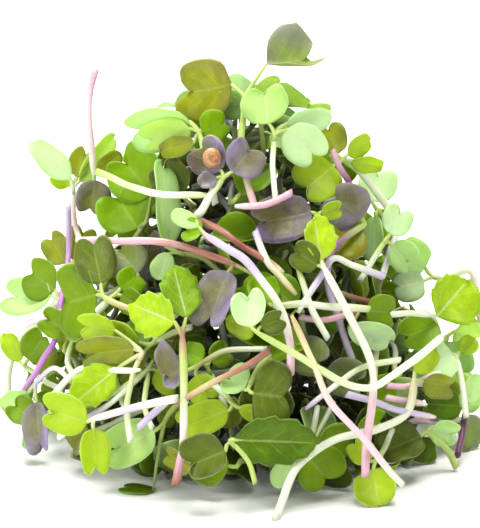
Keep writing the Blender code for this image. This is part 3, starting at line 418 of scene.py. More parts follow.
                  ([(6, 22), (0, 18), (-8, 14.2), (-14, 10.6), (-16.4, 9.4)], 1.6, -2.0)],
        "leaves": [
            ("saw", (-16.4, 28.4), (-26.4, 32.6), 12, -14, 16, 14, -1),
            ("saw", (-13.6, 29.6), (-16.6, 41.6), 11, 16, 16, 16, 2),
        ],
    },
    "doubleLobe": {
        "back": -4.0, "hub": (0.6, 12.2),
        "tints": ["darkOlive", "mint"], "stems": [["lime", "lime"]],
        "lines": [([(6, 21), (2.6, 17), (0.8, 13)], 1.4, 3.0)],
        "leaves": [
            ("heart", (2.0, 11.8), (10.8, 10.6), 18, 6, 14, 20, -1),
            ("heart", (-0.2, 12.8), (-4.4, 15.6), 9, 24, 20, 15, 1),
        ],
    },
    "greyTwist": {
        "back": 0.0, "hub": (-11.6, 17.6),
        "tints": ["slate", "lime"], "stems": [["white", "olive"]],
        "lines": [([(5, 22), (-4, 21.5), (-9, 19.2), (-11.4, 17.8)], 1.4, 1.0)],
        "leaves": [
            ("heart", (-14.2, 16.8), (-19.6, 15.2), 15, 30, 36, 24, -1),
            ("heart", (-11.4, 15.6), (-8, 9.6), 8, 10, 20, 20, 2),
        ],
    },
    "limeCurve": {
        "back": -3.0, "hub": (-2.4, 8.6),
        "tints": ["lime", "brightLime"], "stems": [["white", "lime"]],
        "lines": [([(-7, 13.2), (-4.4, 10.6), (-2.6, 8.8)], 1.5, 0.0)],
        "leaves": [
            ("heart", (-4, 7.4), (-15.6, 3.4), 9, 20, 22, 24, 1),
            ("lens", (-1.2, 8), (8.4, 5.4), 6, 40, 20, 15, 0),
        ],
    },
    "bigSaw": {
        "back": -5.0, "hub": (-3.8, 1.2),
        "tints": ["deep", "darkOlive"], "stems": [["lime", "lime"]],
        "lines": [([(2.4, -9), (0.6, -4), (-3.2, 0.8)], 1.3, 0.0)],
        "leaves": [
            ("saw", (-2.4, 1), (17, 0.2), 13, 8, 14, 14, 0),
            ("heart", (-4.6, -1.6), (-13.6, -5.2), 11.5, 16, 20, 15, 0),
        ],
    },
    "frontGreen": {
        "back": -2.0, "hub": (14.0, -2.4),
        "tints": ["leafy", "mint"], "stems": [["white", "lime"]],
        "lines": [([(17, 8), (16, 3), (14.4, -1.6)], 1.4, 5.0)],
        "leaves": [
            ("heart", (14.6, -3.4), (20, -9.6), 12.5, -8, 14, 18, 0),
            ("lens", (11.6, -2.8), (7, -10.6), 6.5, 26, 26, 24, -1),
        ],
    },
    "limeRound": {
        "back": 0.0, "hub": (30.4, -4.6),
        "tints": ["lime", "brightLime"], "stems": [["white", "lime"]],
        "lines": [([(34.6, 2.6), (32.8, -1), (31, -4)], 1.4, 5.0)],
        "leaves": [
            ("lens", (30, -6.4), (31.4, -15), 10.5, 4, 14, 16, 0),
            ("heart", (29, -4.2), (25.2, 0.6), 7, -10, 20, 18, 1),
        ],
    },
    "mintRight": {
        "back": 2.0, "hub": (31.0, 56.4),
        "tints": ["paleMint", "olive", "mint"], "stems": [["white", "lilac", "white", "lime"]],
        "lines": [([(32.3, 40.3), (34, 46), (35.3, 50.4), (31.6, 55.4)], 1.7, -1.0)],
        "leaves": [
            ("heart", (30, 58.2), (32, 66.2), 10, 10, 18, 20, 1),
            ("heart", (32.4, 56), (35.4, 52.6), 5, 20, 20, 15, 2),
            ("lens", (30.8, 54.4), (30.4, 43.6), 7, 30, 26, 14, -1),
        ],
    },
    "roundMint": {
        "back": 3.0, "hub": (44.2, 38.6),
        "tints": ["mint", "greyMint"], "stems": [["blush", "blush", "white", "paleLime"]],
        "lines": [([(56.4, 27), (55.6, 33), (53.8, 40.4), (48, 38.4), (45.4, 37.8)], 1.9, -2.0)],
        "leaves": [
            ("heart", (42.8, 41), (36, 46), 10, 0, 14, 18, 1),
            ("heart", (42.4, 37.6), (35, 36), 8.5, 6, 18, 20, 0),
        ],
    },
    "foldedSaw": {
        "back": 0.0, "hub": (44.8, 29.8),
        "tints": ["lime", "green"], "stems": [["white", "white"]],
        "lines": [([(33.6, 30), (38, 30.2), (43.6, 30.2)], 1.7, 0.0)],
        "leaves": [
            ("saw", (46, 29.6), (53.6, 38.2), 16.5, 18, 24, 18, -1),
            ("heart", (46.2, 27.8), (37, 24), 9.5, 10, 20, 20, 1),
        ],
    },
    "oliveHeart": {
        "back": -3.0, "hub": (27.4, 31.6),
        "tints": ["leafy", "paleMint"], "stems": [["pink", "pink", "rust"]],
        "lines": [([(13, 29.5), (18, 28.7), (23, 29.6), (26.6, 31)], 1.6, 3.0)],
        "leaves": [
            ("heart", (28.6, 31), (35.4, 30.2), 9.5, 10, 18, 22, -1),
            ("lens", (24.4, 26.8), (34.6, 24), 7.5, 14, 22, 15, 1),
        ],
    },
    "paleStalk": {
        "back": 1.0, "hub": (50.4, 20.2),
        "tints": ["paleMint", "lime"], "stems": [["white", "white", "white"]],
        "lines": [([(52.6, 5.5), (52, 12), (50.8, 18.8)], 1.6, 0.0)],
        "leaves": [
            ("heart", (49.4, 20.6), (38.6, 15), 11.5, 14, 22, 20, -1),
            ("lens", (51.4, 21.2), (54.6, 24.6), 5, 10, 22, 10, 2),
        ],
    },
    "deepGreen": {
        "back": 1.0, "hub": (52.6, 7.6),
        "tints": ["deep", "mint", "sage"], "stems": [["purple", "purple"]],
        "lines": [([(50.5, -3.5), (51.6, 1), (52.6, 6.2)], 1.6, -1.0)],
        "leaves": [
            ("heart", (51, 8), (42, 8.8), 8.5, 14, 20, 20, 0),
            ("lens", (53.4, 8.8), (56, 15.6), 5.5, 10, 20, 10, 2),
            ("heart", (53.2, 5.8), (55, -1.6), 7, -10, 20, 10, 2),
        ],
    },
    "darkFront": {
        "back": -1.0, "hub": (42.6, 2.6),
        "tints": ["darkOlive", "mint"], "stems": [["lime", "lime"]],
        "lines": [([(50, -6), (47.6, -1.4), (43.6, 1.8)], 1.7, -2.0)],
        "leaves": [
            ("heart", (41.4, 1.2), (31.4, -2.6), 12, 22, 32, 16, 0),
            ("heart", (44, 3), (50, 1.4), 7, 16, 20, 15, 2),
        ],
    },
    "mintPair": {
        "back": 2.0, "hub": (-43.6, 33.4),
        "tints": ["leafy", "mint"], "stems": [["white", "white", "white"]],
        "lines": [([(-56.8, 7), (-56.6, 16), (-55, 21), (-52.5, 25), (-49, 28), (-44.3, 32.4)], 1.9, -1.0)],
        "leaves": [
            ("heart", (-45, 35.4), (-51.6, 40), 11, -18, 18, 22, 1),
            ("heart", (-46, 34), (-57, 33.6), 10.5, 16, 20, 24, -1),
        ],
    },
    "magenta": {
        "back": -3.0, "tints": [], "stems": [["lilac", "magenta", "magenta", "magenta", "plum"]],
        "lines": [([(-42.2, 55.8), (-42, 45), (-43.6, 34), (-45, 24.5), (-47.6, 20), (-50, 15.6), (-53.4, 11),
                    (-57.8, 7.4)], 1.5, 0.0)],
        "leaves": [],
    },
    "greyHang": {
        "back": 1.0, "hub": (-50.2, 14.6),
        "tints": ["greyLilac", "mint"], "stems": [["white", "lilac"]],
        "lines": [([(-41, 15.4), (-45.6, 18.6), (-49.4, 15.6)], 1.4, 2.0)],
        "leaves": [
            ("heart", (-49.6, 10.4), (-48.6, -1.6), 8.5, 24, 40, 10, 0),
            ("lens", (-51.6, 12.6), (-58.2, 9.2), 6, -20, 16, 10, 2),
        ],
    },
    "upFold": {
        "back": 0.0, "hub": (-34.0, 34.6),
        "tints": ["leafy", "darkOlive"], "stems": [["tan", "tan", "lime"]],
        "lines": [([(-20, 28.6), (-25.5, 31), (-31, 33), (-33, 34.2)], 1.7, 0.0)],
        "leaves": [
            ("heart", (-35.2, 34.6), (-43.8, 32.4), 20, 12, 16, 22, -2),
            ("heart", (-34, 37.4), (-36.4, 48.4), 10.5, -8, 18, 18, 6),
        ],
    },
    "greyGreen": {
        "back": 4.0, "hub": (-24.4, 38.4),
        "tints": ["sage", "olive"], "stems": [["white", "white", "lime"]],
        "lines": [([(-36.6, 28), (-35, 31), (-33.4, 33.2), (-27, 37.4), (-25.4, 38.2)], 1.8, -3.0)],
        "leaves": [
            ("heart", (-25, 39.8), (-30, 46.4), 11, 10, 18, 20, 1),
            ("lens", (-26, 37.4), (-33, 41.4), 6, -20, 20, 15, 3),
        ],
    },
    "sawCup": {
        "back": -1.0, "hub": (-23.6, 21.6),
        "tints": ["brightLime", "olive", "lime"], "stems": [["white", "paleLime", "cream"], ["white", "white", "white"]],
        "lines": [([(-26.7, 0.5), (-28, 8), (-27.2, 13), (-26, 17), (-24, 20.6)], 1.5, 1.0),
                  ([(-45.8, 10.3), (-39, 17.2), (-31, 17), (-26, 17), (-24.4, 17.2)], 1.6, 1.0)],
        "leaves": [
            ("saw", (-30.4, 17.2), (-40.6, 9), 10.5, 12, 18, 18, 0),
            ("heart", (-26, 22), (-38.6, 20.4), 9.5, -14, 26, 24, 1),
            ("heart", (-30.6, 26.4), (-38.8, 27.4), 7, -10, 20, 18, 3),
        ],
    },
    "limeHeart": {
        "back": -5.0, "hub": (-35.8, 5.4),
        "tints": ["lime", "lime"], "stems": [["white", "white", "lilac", "blush", "white"]],
        "lines": [([(-16, 10.4), (-24, 8.7), (-30, 7), (-34.8, 5.8)], 1.9, -1.0)],
        "leaves": [
            ("heart", (-37, 4.8), (-47.2, 7.6), 10, -6, 14, 20, 0),
            ("heart", (-35.4, 3), (-35, -7.6), 8, -12, 22, 18, 1),
        ],
    },
    "palePair": {
        "back": 6.0, "hub": (-19.4, 4.0),
        "tints": ["leafMint", "leafy"], "stems": [["white", "lime", "lime"]],
        "lines": [([(-12, 12), (-15, 9.6), (-17.6, 7), (-19, 4.8)], 1.5, 2.0)],
        "leaves": [
            ("heart", (-21.4, 2.6), (-32.6, -2.6), 11, 12, 14, 18, -2),
            ("heart", (-21.8, -1.6), (-29.2, -6.4), 7.5, 0, 0, 0, 2),
        ],
    },
}


def sprayStalks(spray):
    stalks = []
    for line, width, lineBack in spray["lines"]:
        points = []
        near = None
        for i, (across, up) in reversed(list(enumerate(line))):
            share = i / (len(line) - 1)
            near = place(across, up, spray["back"] + lineBack * (1.0 - share), near, stemSlope)
            near.z = max(near.z, 0.55 * width)
            points.insert(0, near)
        stalks.append((points, width))
    return stalks


def sprayHub(spray):
    hub = place(*spray["hub"], spray["back"])
    hub.z = max(hub.z, 0.7 * stemWidth)
    return hub


def sprayBlades(spray, hub):
    # base, tip and facing of each leaf, as on the part
    blades = []
    for shape, base, tip, width, roll, fold, curl, leafBack in spray["leaves"]:
        start = place(*base, spray["back"] + 0.5 * leafBack, hub, leafSlope)
        end = place(*tip, spray["back"] + leafBack, start, leafSlope)
        facing = towardViewer
        if fold == 0:
            start.z = 0.5 * bladeThickness
            end.z = 0.5 * bladeThickness
            facing = Vector((0.0, 0.0, 1.0))
        blades.append((shape, start, end, width, facing, roll, fold, curl))
    return blades


def plainBladePoints(blade, hub):
    # the few points of the part's own blade, which say where its box lies
    shape, base, tip, width, facing, roll, fold, curl = blade
    length = (tip - base).length
    turn = bladeTurn(base, tip, facing, roll)
    points = [hub, base]
    for (out, along), rib in zip(bladeShapes[shape]["edge"], bladeShapes[shape]["rib"]):
        x = 0.5 * width * out
        for px, py in ((-x, along * length), (0.0, rib * length), (x, along * length)):
            points.append(base + turn @ curledPoint(px, py, length, fold, curl))
    return points


def middleOf(points):
    low = Vector([min(p[i] for p in points) for i in range(3)])
    high = Vector([max(p[i] for p in points) for i in range(3)])
    return (low + high) * 0.5


def shiftTo(node, points):
    # how far the part's own node lies from the layout, in millimetres
    low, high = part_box(node)
    return (Vector(low) + Vector(high)) * (0.5 / metre) - middleOf(points)


class Skin:
    # gathers the points and faces of one piece
    def __init__(self):
        self.verts = []
        self.faces = []
        self.plan = []
        self.tints = []
        self.finishes = []

    def add(self, verts, faces, plan, tints, finish):
        start = len(self.verts)
        self.verts += verts
        self.plan += plan
        self.tints += tints
        self.faces += [tuple(start + i for i in face) for face in faces]
        self.finishes += [finish] * len(faces)


# painted shade: leaves and stems that lie deep in the heap get darker colours, which stand in for the shade inside the
# heap
paintedShadeLook = {"from": 3.0, "to": 16.0, "least": 0.20}


def paintedDepthShade(point):
    # how much painted shade a point gets, from how deep it lies under the dome
    spot = point - heapShift
    depth = heapRadius(spot.z) - math.hypot(spot.x, spot.y)
    share = min(max((depth - paintedShadeLook["from"]) / (paintedShadeLook["to"] - paintedShadeLook["from"]), 0.0), 1.0)
    return 1.0 - (1.0 - paintedShadeLook["least"]) * share * share * (3.0 - 2.0 * share)


def newPiece(name, skin, replaced=()):
    # one object on the heap's body, with a material for each finish that it uses
    mesh = bpy.data.meshes.new(name)
    low, high = [Vector(corner) / metre for corner in cadBox]
    held = [Vector([min(max(c, a + boxMargin), b - boxMargin) for c, a, b in zip(v, low, high)]) for v in skin.verts]
    mesh.from_pydata([v * metre for v in held], [], skin.faces)
    plan = mesh.attributes.new("plan", "FLOAT_VECTOR", "POINT")
    plan.data.foreach_set("vector", [c for spot in skin.plan for c in spot])
    tint = mesh.color_attributes.new("tint", "FLOAT_COLOR", "POINT")
    # painted shade: each point's colour is darkened by how deep it lies in the heap
    tintsWithPaintedShade = [shade * paintedDepthShade(v) for shade, v in zip(skin.tints, skin.verts)]
    tint.data.foreach_set("color", [c for shade in tintsWithPaintedShade for c in (shade[0], shade[1], shade[2], 1.0)])
    used = sorted(set(skin.finishes))
    for finish in used:
        mesh.materials.append(finishes[finish])
    mesh.polygons.foreach_set("material_index", [used.index(finish) for finish in skin.finishes])
    mesh.polygons.foreach_set("use_smooth", [True] * len(mesh.polygons))
    mesh.update()
    piece = bpy.data.objects.new(name, mesh)
    bpy.context.scene.collection.objects.link(piece)
    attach(piece, "root")
    if replaced:
        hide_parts(*replaced)
    return piece


# what each finish looks like: vein colour and strength, mottling, gloss, how much light shines through, and how
# much richer than on the screen the leaf is painted
leafLook = {
    "limeLeaf": {"vein": (0.84, 0.92, 0.42), "veins": 0.10, "mottle": 0.07, "rough": (0.36, 0.50), "glow": 0.44,
                 "sun": 0.30, "wash": 0.0, "flecks": 0.0, "rich": 1.08, "rib": 0.16},
    "greenLeaf": {"vein": (0.56, 0.76, 0.22), "veins": 0.13, "mottle": 0.12, "rough": (0.34, 0.48), "glow": 0.42,
                  "sun": 0.42, "wash": 0.0, "flecks": 0.0, "rich": 1.34, "rib": 0.20},
    "mintLeaf": {"vein": (0.90, 0.96, 0.78), "veins": 0.10, "mottle": 0.05, "rough": (0.38, 0.54), "glow": 0.42,
                 "sun": 0.14, "wash": 0.0, "flecks": 0.0, "rich": 1.02, "rib": 0.20},
    "oliveLeaf": {"vein": (0.54, 0.60, 0.24), "veins": 0.16, "mottle": 0.18, "rough": (0.32, 0.46), "glow": 0.34,
                  "sun": 0.40, "wash": 0.18, "flecks": 0.22, "rich": 1.32, "rib": 0.22},
    "purpleLeaf": {"vein": (0.40, 0.40, 0.26), "veins": 0.16, "mottle": 0.26, "rough": (0.30, 0.44), "glow": 0.22,
                   "sun": 0.25, "wash": 0.34, "flecks": 0.42, "rich": 1.15, "rib": 0.20},
    "sawLeaf": {"vein": (0.78, 0.90, 0.50), "veins": 0.30, "mottle": 0.18, "rough": (0.38, 0.54), "glow": 0.44,
                "sun": 0.34, "wash": 0.0, "flecks": 0.0, "rich": 1.26, "rib": 0.62},
    "darkSaw": {"vein": (0.42, 0.56, 0.16), "veins": 0.30, "mottle": 0.26, "rough": (0.36, 0.50), "glow": 0.36,
                "sun": 0.40, "wash": 0.0, "flecks": 0.0, "rich": 1.25, "rib": 0.50},
}
stalkLook = {
    "paleStalk": {"streak": 0.06, "blush": (0.82, 0.88, 0.58), "blushShare": 0.12, "rough": 0.30, "glow": 0.30},
    "rosyStalk": {"streak": 0.08, "blush": (0.84, 0.58, 0.68), "blushShare": 0.16, "rough": 0.28, "glow": 0.26},
    "darkStalk": {"streak": 0.18, "blush": (0.40, 0.16, 0.16), "blushShare": 0.26, "rough": 0.30, "glow": 0.16},
}


class NodeKit:
    # short ways to add the nodes that the finishes share
    def __init__(self, name):
        self.mat = bpy.data.materials.new(name)
        self.mat.use_nodes = True
        self.tree = self.mat.node_tree
        self.shader = self.tree.nodes["Principled BSDF"]
        self.out = self.tree.nodes["Material Output"]

    def node(self, kind, **values):
        made = self.tree.nodes.new(kind)
        for key, value in values.items():
            setattr(made, key, value)
        return made

    def link(self, source, target):
        self.tree.links.new(source, target)

    def attribute(self, name):
        return self.node("ShaderNodeAttribute", attribute_name=name)

    def maths(self, operation, first, second=None):
        made = self.node("ShaderNodeMath", operation=operation)
        for socket, value in zip(made.inputs, (first, second)):
            if value is None:
                continue
            if isinstance(value, (int, float)):
                socket.default_value = value
            else:
                self.link(value, socket)
        return made.outputs[0]

    def ramp(self, value, low, high, to=(0.0, 1.0), smooth=True):
        made = self.node("ShaderNodeMapRange", interpolation_type="SMOOTHSTEP" if smooth else "LINEAR")
        self.link(value, made.inputs["Value"])
        made.inputs["From Min"].default_value = low
        made.inputs["From Max"].default_value = high
        made.inputs["To Min"].default_value = to[0]
        made.inputs["To Max"].default_value = to[1]
        return made.outputs["Result"]

    def mix(self, share, first, second, blend="MIX"):
        made = self.node("ShaderNodeMix", data_type="RGBA", blend_type=blend)
        for socket, value in ((made.inputs["Factor"], share), (made.inputs[6], first), (made.inputs[7], second)):
            if isinstance(value, (int, float)):
                socket.default_value = value
            elif isinstance(value, tuple):
                socket.default_value = (*value, 1.0)
            else:
                self.link(value, socket)
        return made.outputs[2]

    def noise(self, vector, scale, detail=3.0, roughness=0.55):
        made = self.node("ShaderNodeTexNoise")
        made.inputs["Scale"].default_value = scale
        made.inputs["Detail"].default_value = detail
        made.inputs["Roughness"].default_value = roughness
        if vector is not None:
            self.link(vector, made.inputs["Vector"])
        return made.outputs["Fac"]

    def place(self):
        return self.node("ShaderNodeTexCoord").outputs["Object"]

    def bump(self, height, distance, strength):
        made = self.node("ShaderNodeBump")
        made.inputs["Distance"].default_value = distance
        made.inputs["Strength"].default_value = strength
        self.link(height, made.inputs["Height"])
        return made.outputs["Normal"]

    def shineThrough(self, colour, normal, share):
        # mixes light that comes through the tissue with the surface
        through = self.node("ShaderNodeBsdfTranslucent")
        self.link(colour, through.inputs["Color"])
        self.link(normal, through.inputs["Normal"])
        both = self.node("ShaderNodeMixShader")
        both.inputs["Fac"].default_value = share
        self.link(self.shader.outputs["BSDF"], both.inputs[1])
        self.link(through.outputs["BSDF"], both.inputs[2])
        self.link(both.outputs["Shader"], self.out.inputs["Surface"])


def leafFinish(name, look):
    kit = NodeKit(name)
    # the tint attribute holds the leaf's colours with the painted shade of the heap's depth multiplied in
    tint = kit.attribute("tint").outputs["Color"]
    plan = kit.node("ShaderNodeSeparateXYZ")
    kit.link(kit.attribute("plan").outputs["Vector"], plan.inputs["Vector"])
    place = kit.place()
    aside = kit.maths("ABSOLUTE", plan.outputs["X"])
    stray = kit.noise(place, 260.0)
    # side veins branch from the rib towards the margin, and smaller ones stand between them
    course = kit.maths("SUBTRACT", kit.maths("MULTIPLY", plan.outputs["Y"], 5.4), kit.maths("MULTIPLY", aside, 1.25))
    course = kit.maths("ADD", course, kit.maths("MULTIPLY", stray, 1.1))
    wave = kit.maths("PINGPONG", course, 0.5)
    sideVein = kit.ramp(wave, 0.10, 0.0)
    sideVein = kit.maths("MULTIPLY", sideVein, kit.ramp(aside, 0.92, 0.30))
    rib = kit.ramp(aside, 0.085, 0.015)
    veins = kit.maths("MAXIMUM", rib, kit.maths("MULTIPLY", sideVein, 0.7))
    # the fine net of veins
    net = kit.node("ShaderNodeTexVoronoi", feature="DISTANCE_TO_EDGE")
    net.inputs["Scale"].default_value = 900.0
    kit.link(place, net.inputs["Vector"])
    netLine = kit.ramp(net.outputs["Distance"], 0.09, 0.0)
    # colour
    patches = kit.noise(place, 330.0, 5.0, 0.62)
    shade = kit.ramp(patches, 0.30, 0.70, (1.0 - look["mottle"], 1.0 + 0.5 * look["mottle"]))
    shadeColour = kit.node("ShaderNodeCombineColor")
    for channel in ("Red", "Green", "Blue"):
        kit.link(shade, shadeColour.inputs[channel])
    colour = kit.mix(1.0, tint, shadeColour.outputs["Color"], "MULTIPLY")
    if look["wash"] > 0.0:
        # green shows through the purple in patches and in fine flecks
        wash = kit.ramp(kit.noise(place, 130.0, 3.0), 0.48, 0.66, (0.0, look["wash"]))
        colour = kit.mix(wash, colour, (0.24, 0.24, 0.03))
        dots = kit.node("ShaderNodeTexVoronoi")
        dots.inputs["Scale"].default_value = 1500.0
        kit.link(place, dots.inputs["Vector"])
        fleck = kit.ramp(dots.outputs["Distance"], 0.34, 0.12, (0.0, look["flecks"]))
        fleck = kit.maths("MULTIPLY", fleck, kit.ramp(kit.noise(place, 420.0, 2.0), 0.46, 0.62))
        colour = kit.mix(fleck, colour, (0.50, 0.50, 0.16))
    colour = kit.mix(kit.maths("MULTIPLY", netLine, 0.22 * look["veins"]), colour, look["vein"])
    colour = kit.mix(kit.maths("MULTIPLY", sideVein, 0.7 * look["veins"]), colour, look["vein"])
    colour = kit.mix(kit.maths("MULTIPLY", rib, look["rib"]), colour, look["vein"])
    rim = kit.ramp(aside, 0.93, 1.0)
    colour = kit.mix(kit.maths("MULTIPLY", rim, 0.38), colour, look["vein"])
    kit.link(colour, kit.shader.inputs["Base Color"])
    # surface
    cells = kit.noise(place, 2600.0, 2.0)
    height = kit.maths("ADD", kit.maths("MULTIPLY", veins, -0.55), kit.maths("MULTIPLY", cells, 0.30))
    height = kit.maths("ADD", height, kit.maths("MULTIPLY", patches, 0.5))
    normal = kit.bump(height, 0.0003, 0.25 + 0.7 * look["veins"])
    kit.link(normal, kit.shader.inputs["Normal"])
    kit.link(kit.ramp(kit.noise(place, 700.0), 0.3, 0.7, look["rough"]), kit.shader.inputs["Roughness"])
    kit.shader.inputs["Specular IOR Level"].default_value = 0.24
    kit.shader.inputs["Coat Weight"].default_value = 0.04
    kit.shader.inputs["Coat Roughness"].default_value = 0.26
    sunlit = kit.mix(look["sun"], colour, (0.70, 0.84, 0.08))
    kit.shineThrough(sunlit, normal, look["glow"])
    return kit.mat


def stalkFinish(name, look):
    kit = NodeKit(name)
    # the tint attribute holds the stem's colours with the painted shade of the heap's depth multiplied in
    tint = kit.attribute("tint").outputs["Color"]
    along = kit.node("ShaderNodeMapping")
    along.inputs["Scale"].default_value = (1.0, 1.0, 0.16)
    kit.link(kit.attribute("plan").outputs["Vector"], along.inputs["Vector"])
    place = kit.place()
    streaks = kit.noise(along.outputs["Vector"], 5.0, 4.0, 0.6)
    shade = kit.ramp(streaks, 0.30, 0.70, (1.0 - look["streak"], 1.0 + 0.4 * look["streak"]))
    shadeColour = kit.node("ShaderNodeCombineColor")
    for channel in ("Red", "Green", "Blue"):
        kit.link(shade, shadeColour.inputs[channel])
    colour = kit.mix(1.0, tint, shadeColour.outputs["Color"], "MULTIPLY")
    flush = kit.ramp(kit.noise(place, 90.0, 2.0), 0.50, 0.74, (0.0, look["blushShare"]))
    colour = kit.mix(flush, colour, look["blush"])
    kit.link(colour, kit.shader.inputs["Base Color"])
    height = kit.maths("ADD", kit.maths("MULTIPLY", streaks, 0.7), kit.noise(place, 1500.0, 2.0))
    normal = kit.bump(height, 0.00012, 0.5)
    kit.link(normal, kit.shader.inputs["Normal"])
    kit.shader.inputs["Roughness"].default_value = look["rough"]
    kit.shader.inputs["Specular IOR Level"].default_value = 0.4
    kit.shader.inputs["Coat Weight"].default_value = 0.12
    kit.shader.inputs["Coat Roughness"].default_value = 0.16
    kit.shineThrough(colour, normal, look["glow"])
    return kit.mat


def huskFinish(name):
    kit = NodeKit(name)
    place = kit.place()
    wrinkles = kit.noise(place, 620.0, 5.0, 0.62)
    colour = kit.mix(kit.ramp(wrinkles, 0.30, 0.66), (0.21, 0.08, 0.024), (0.50, 0.25, 0.10))
    kit.link(colour, kit.shader.inputs["Base Color"])
    kit.link(kit.bump(wrinkles, 0.0004, 0.6), kit.shader.inputs["Normal"])
    kit.shader.inputs["Roughness"].default_value = 0.42
    return kit.mat


finishes = {name: leafFinish(name, look) for name, look in leafLook.items()}
finishes.update({name: stalkFinish(name, look) for name, look in stalkLook.items()})
finishes["seedHusk"] = huskFinish("seedHusk")
print("finishes made")


def mixColours(colours, share):
    if len(colours) == 1:
        return colours[0]
    spot = min(max(share, 0.0), 1.0) * (len(colours) - 1)
    i = min(int(spot), len(colours) - 2)
    t = spot - i
    return colours[i].lerp(colours[i + 1], t * t * (3.0 - 2.0 * t))


# stems are round and a little uneven, and their cut ends are slanted
stemForm = {"sides": 10, "step": 1.5, "uneven": 0.12, "slant": 0.5, "waver": 0.45, "neck": 0.58}


def addStem(skin, path, startWidth, endWidth, colours, seed, finish, sides=None, waver=None):
    sides = sides or stemForm["sides"]
    waver = stemForm["waver"] if waver is None else waver
    verts, faces, plan, tints = [], [], [], []
    tangent = (path[1] - path[0]).normalized()
    normal = tangent.orthogonal().normalized()
    run = 0.0
    total = sum((b - a).length for a, b in zip(path, path[1:]))
    for i, point in enumerate(path):
        behind = path[max(i - 1, 0)]
        run += (point - behind).length
        tangent = (path[min(i + 1, len(path) - 1)] - behind).normalized()
        normal = (normal - tangent * normal.dot(tangent)).normalized()
        side = tangent.cross(normal)
        share = run / total
        radius = 0.5 * (startWidth + (endWidth - startWidth) * share)
        radius *= 1.0 + stemForm["uneven"] * noise.noise(Vector((run * 0.16, seed * 7.3, 0.5)))
        if i > 0:
            radius *= stemForm["neck"] + (1.0 - stemForm["neck"]) * min(1.0, (total - run) / 2.6)
        drift = noise.noise_vector(Vector((run * 0.07, seed * 3.1, 2.0))) * (waver * math.sin(math.pi * share))
        shade = mixColours(colours, share)
        if i == 0:
            shade = shade * 0.86
        for k in range(sides):
            turn = 2.0 * math.pi * k / sides
            slant = stemForm["slant"] * radius * math.cos(turn) if i == 0 else 0.0
            vert = point + drift + (normal * math.cos(turn) + side * math.sin(turn)) * radius + tangent * slant
            vert.z = max(vert.z, 0.04)
            verts.append(vert)
            plan.append((math.cos(turn), math.sin(turn), run + seed))
            tints.append(shade)
    for i in range(len(path) - 1):
        for k in range(sides):
            a = i * sides + k
            b = i * sides + (k + 1) % sides
            faces.append((a, b, b + sides, a + sides))
    faces.append(tuple(reversed(range(sides))))
    faces.append(tuple(range(len(verts) - sides, len(verts))))
    skin.add(verts, faces, plan, tints, finish)


def curveThrough(points, t):
    # a soft curve through flat points, with t from 0 to the last one
    i = min(int(t), len(points) - 2)
    f = t - i
    corners = points[max(i - 1, 0)], points[i], points[i + 1], points[min(i + 2, len(points) - 1)]
    return [0.5 * (2 * b + (c - a) * f + (2 * a - 5 * b + 4 * c - d) * f * f + (3 * b - a - 3 * c + d) * f ** 3)
            for a, b, c, d in zip(*corners)]


# the same outlines as the plain blades, with more points
fineShapes = {
    "heart": {
        "edge": [(0.30, 0.01), (0.72, 0.09), (0.97, 0.34), (1.0, 0.58), (0.90, 0.82), (0.70, 0.97), (0.40, 1.0),
                 (0.14, 0.90), (0.0, 0.79)],
        "rib": [0.03, 0.12, 0.27, 0.42, 0.56, 0.66, 0.73, 0.77, 0.79],
    },
    "saw": {
        "edge": [(0.34, 0.03), (0.66, 0.12), (0.88, 0.27), (0.97, 0.42), (0.93, 0.57), (0.80, 0.72), (0.56, 0.86),
                 (0.26, 0.96), (0.0, 1.0)],
        "rib": [0.04, 0.13, 0.26, 0.39, 0.52, 0.65, 0.79, 0.92, 1.0],
    },
    "lens": {
        "edge": [(0.40, 0.03), (0.80, 0.18), (1.0, 0.42), (0.98, 0.60), (0.84, 0.80), (0.50, 0.95), (0.0, 0.97)],
        "rib": [0.05, 0.18, 0.38, 0.55, 0.72, 0.88, 0.97],
    },
}
leafForm = {"rows": 20, "columns": 5, "rim": 0.16, "middle": 0.38, "ribRise": 0.30, "wave": 0.055,
            "rollBack": (0.0, 0.13), "cup": (0.02, 0.13), "notch": (-0.12, 0.05), "softFold": 0.09,
            "pucker": 0.014, "skew": 0.17, "teeth": 6, "toothDepth": 0.20}


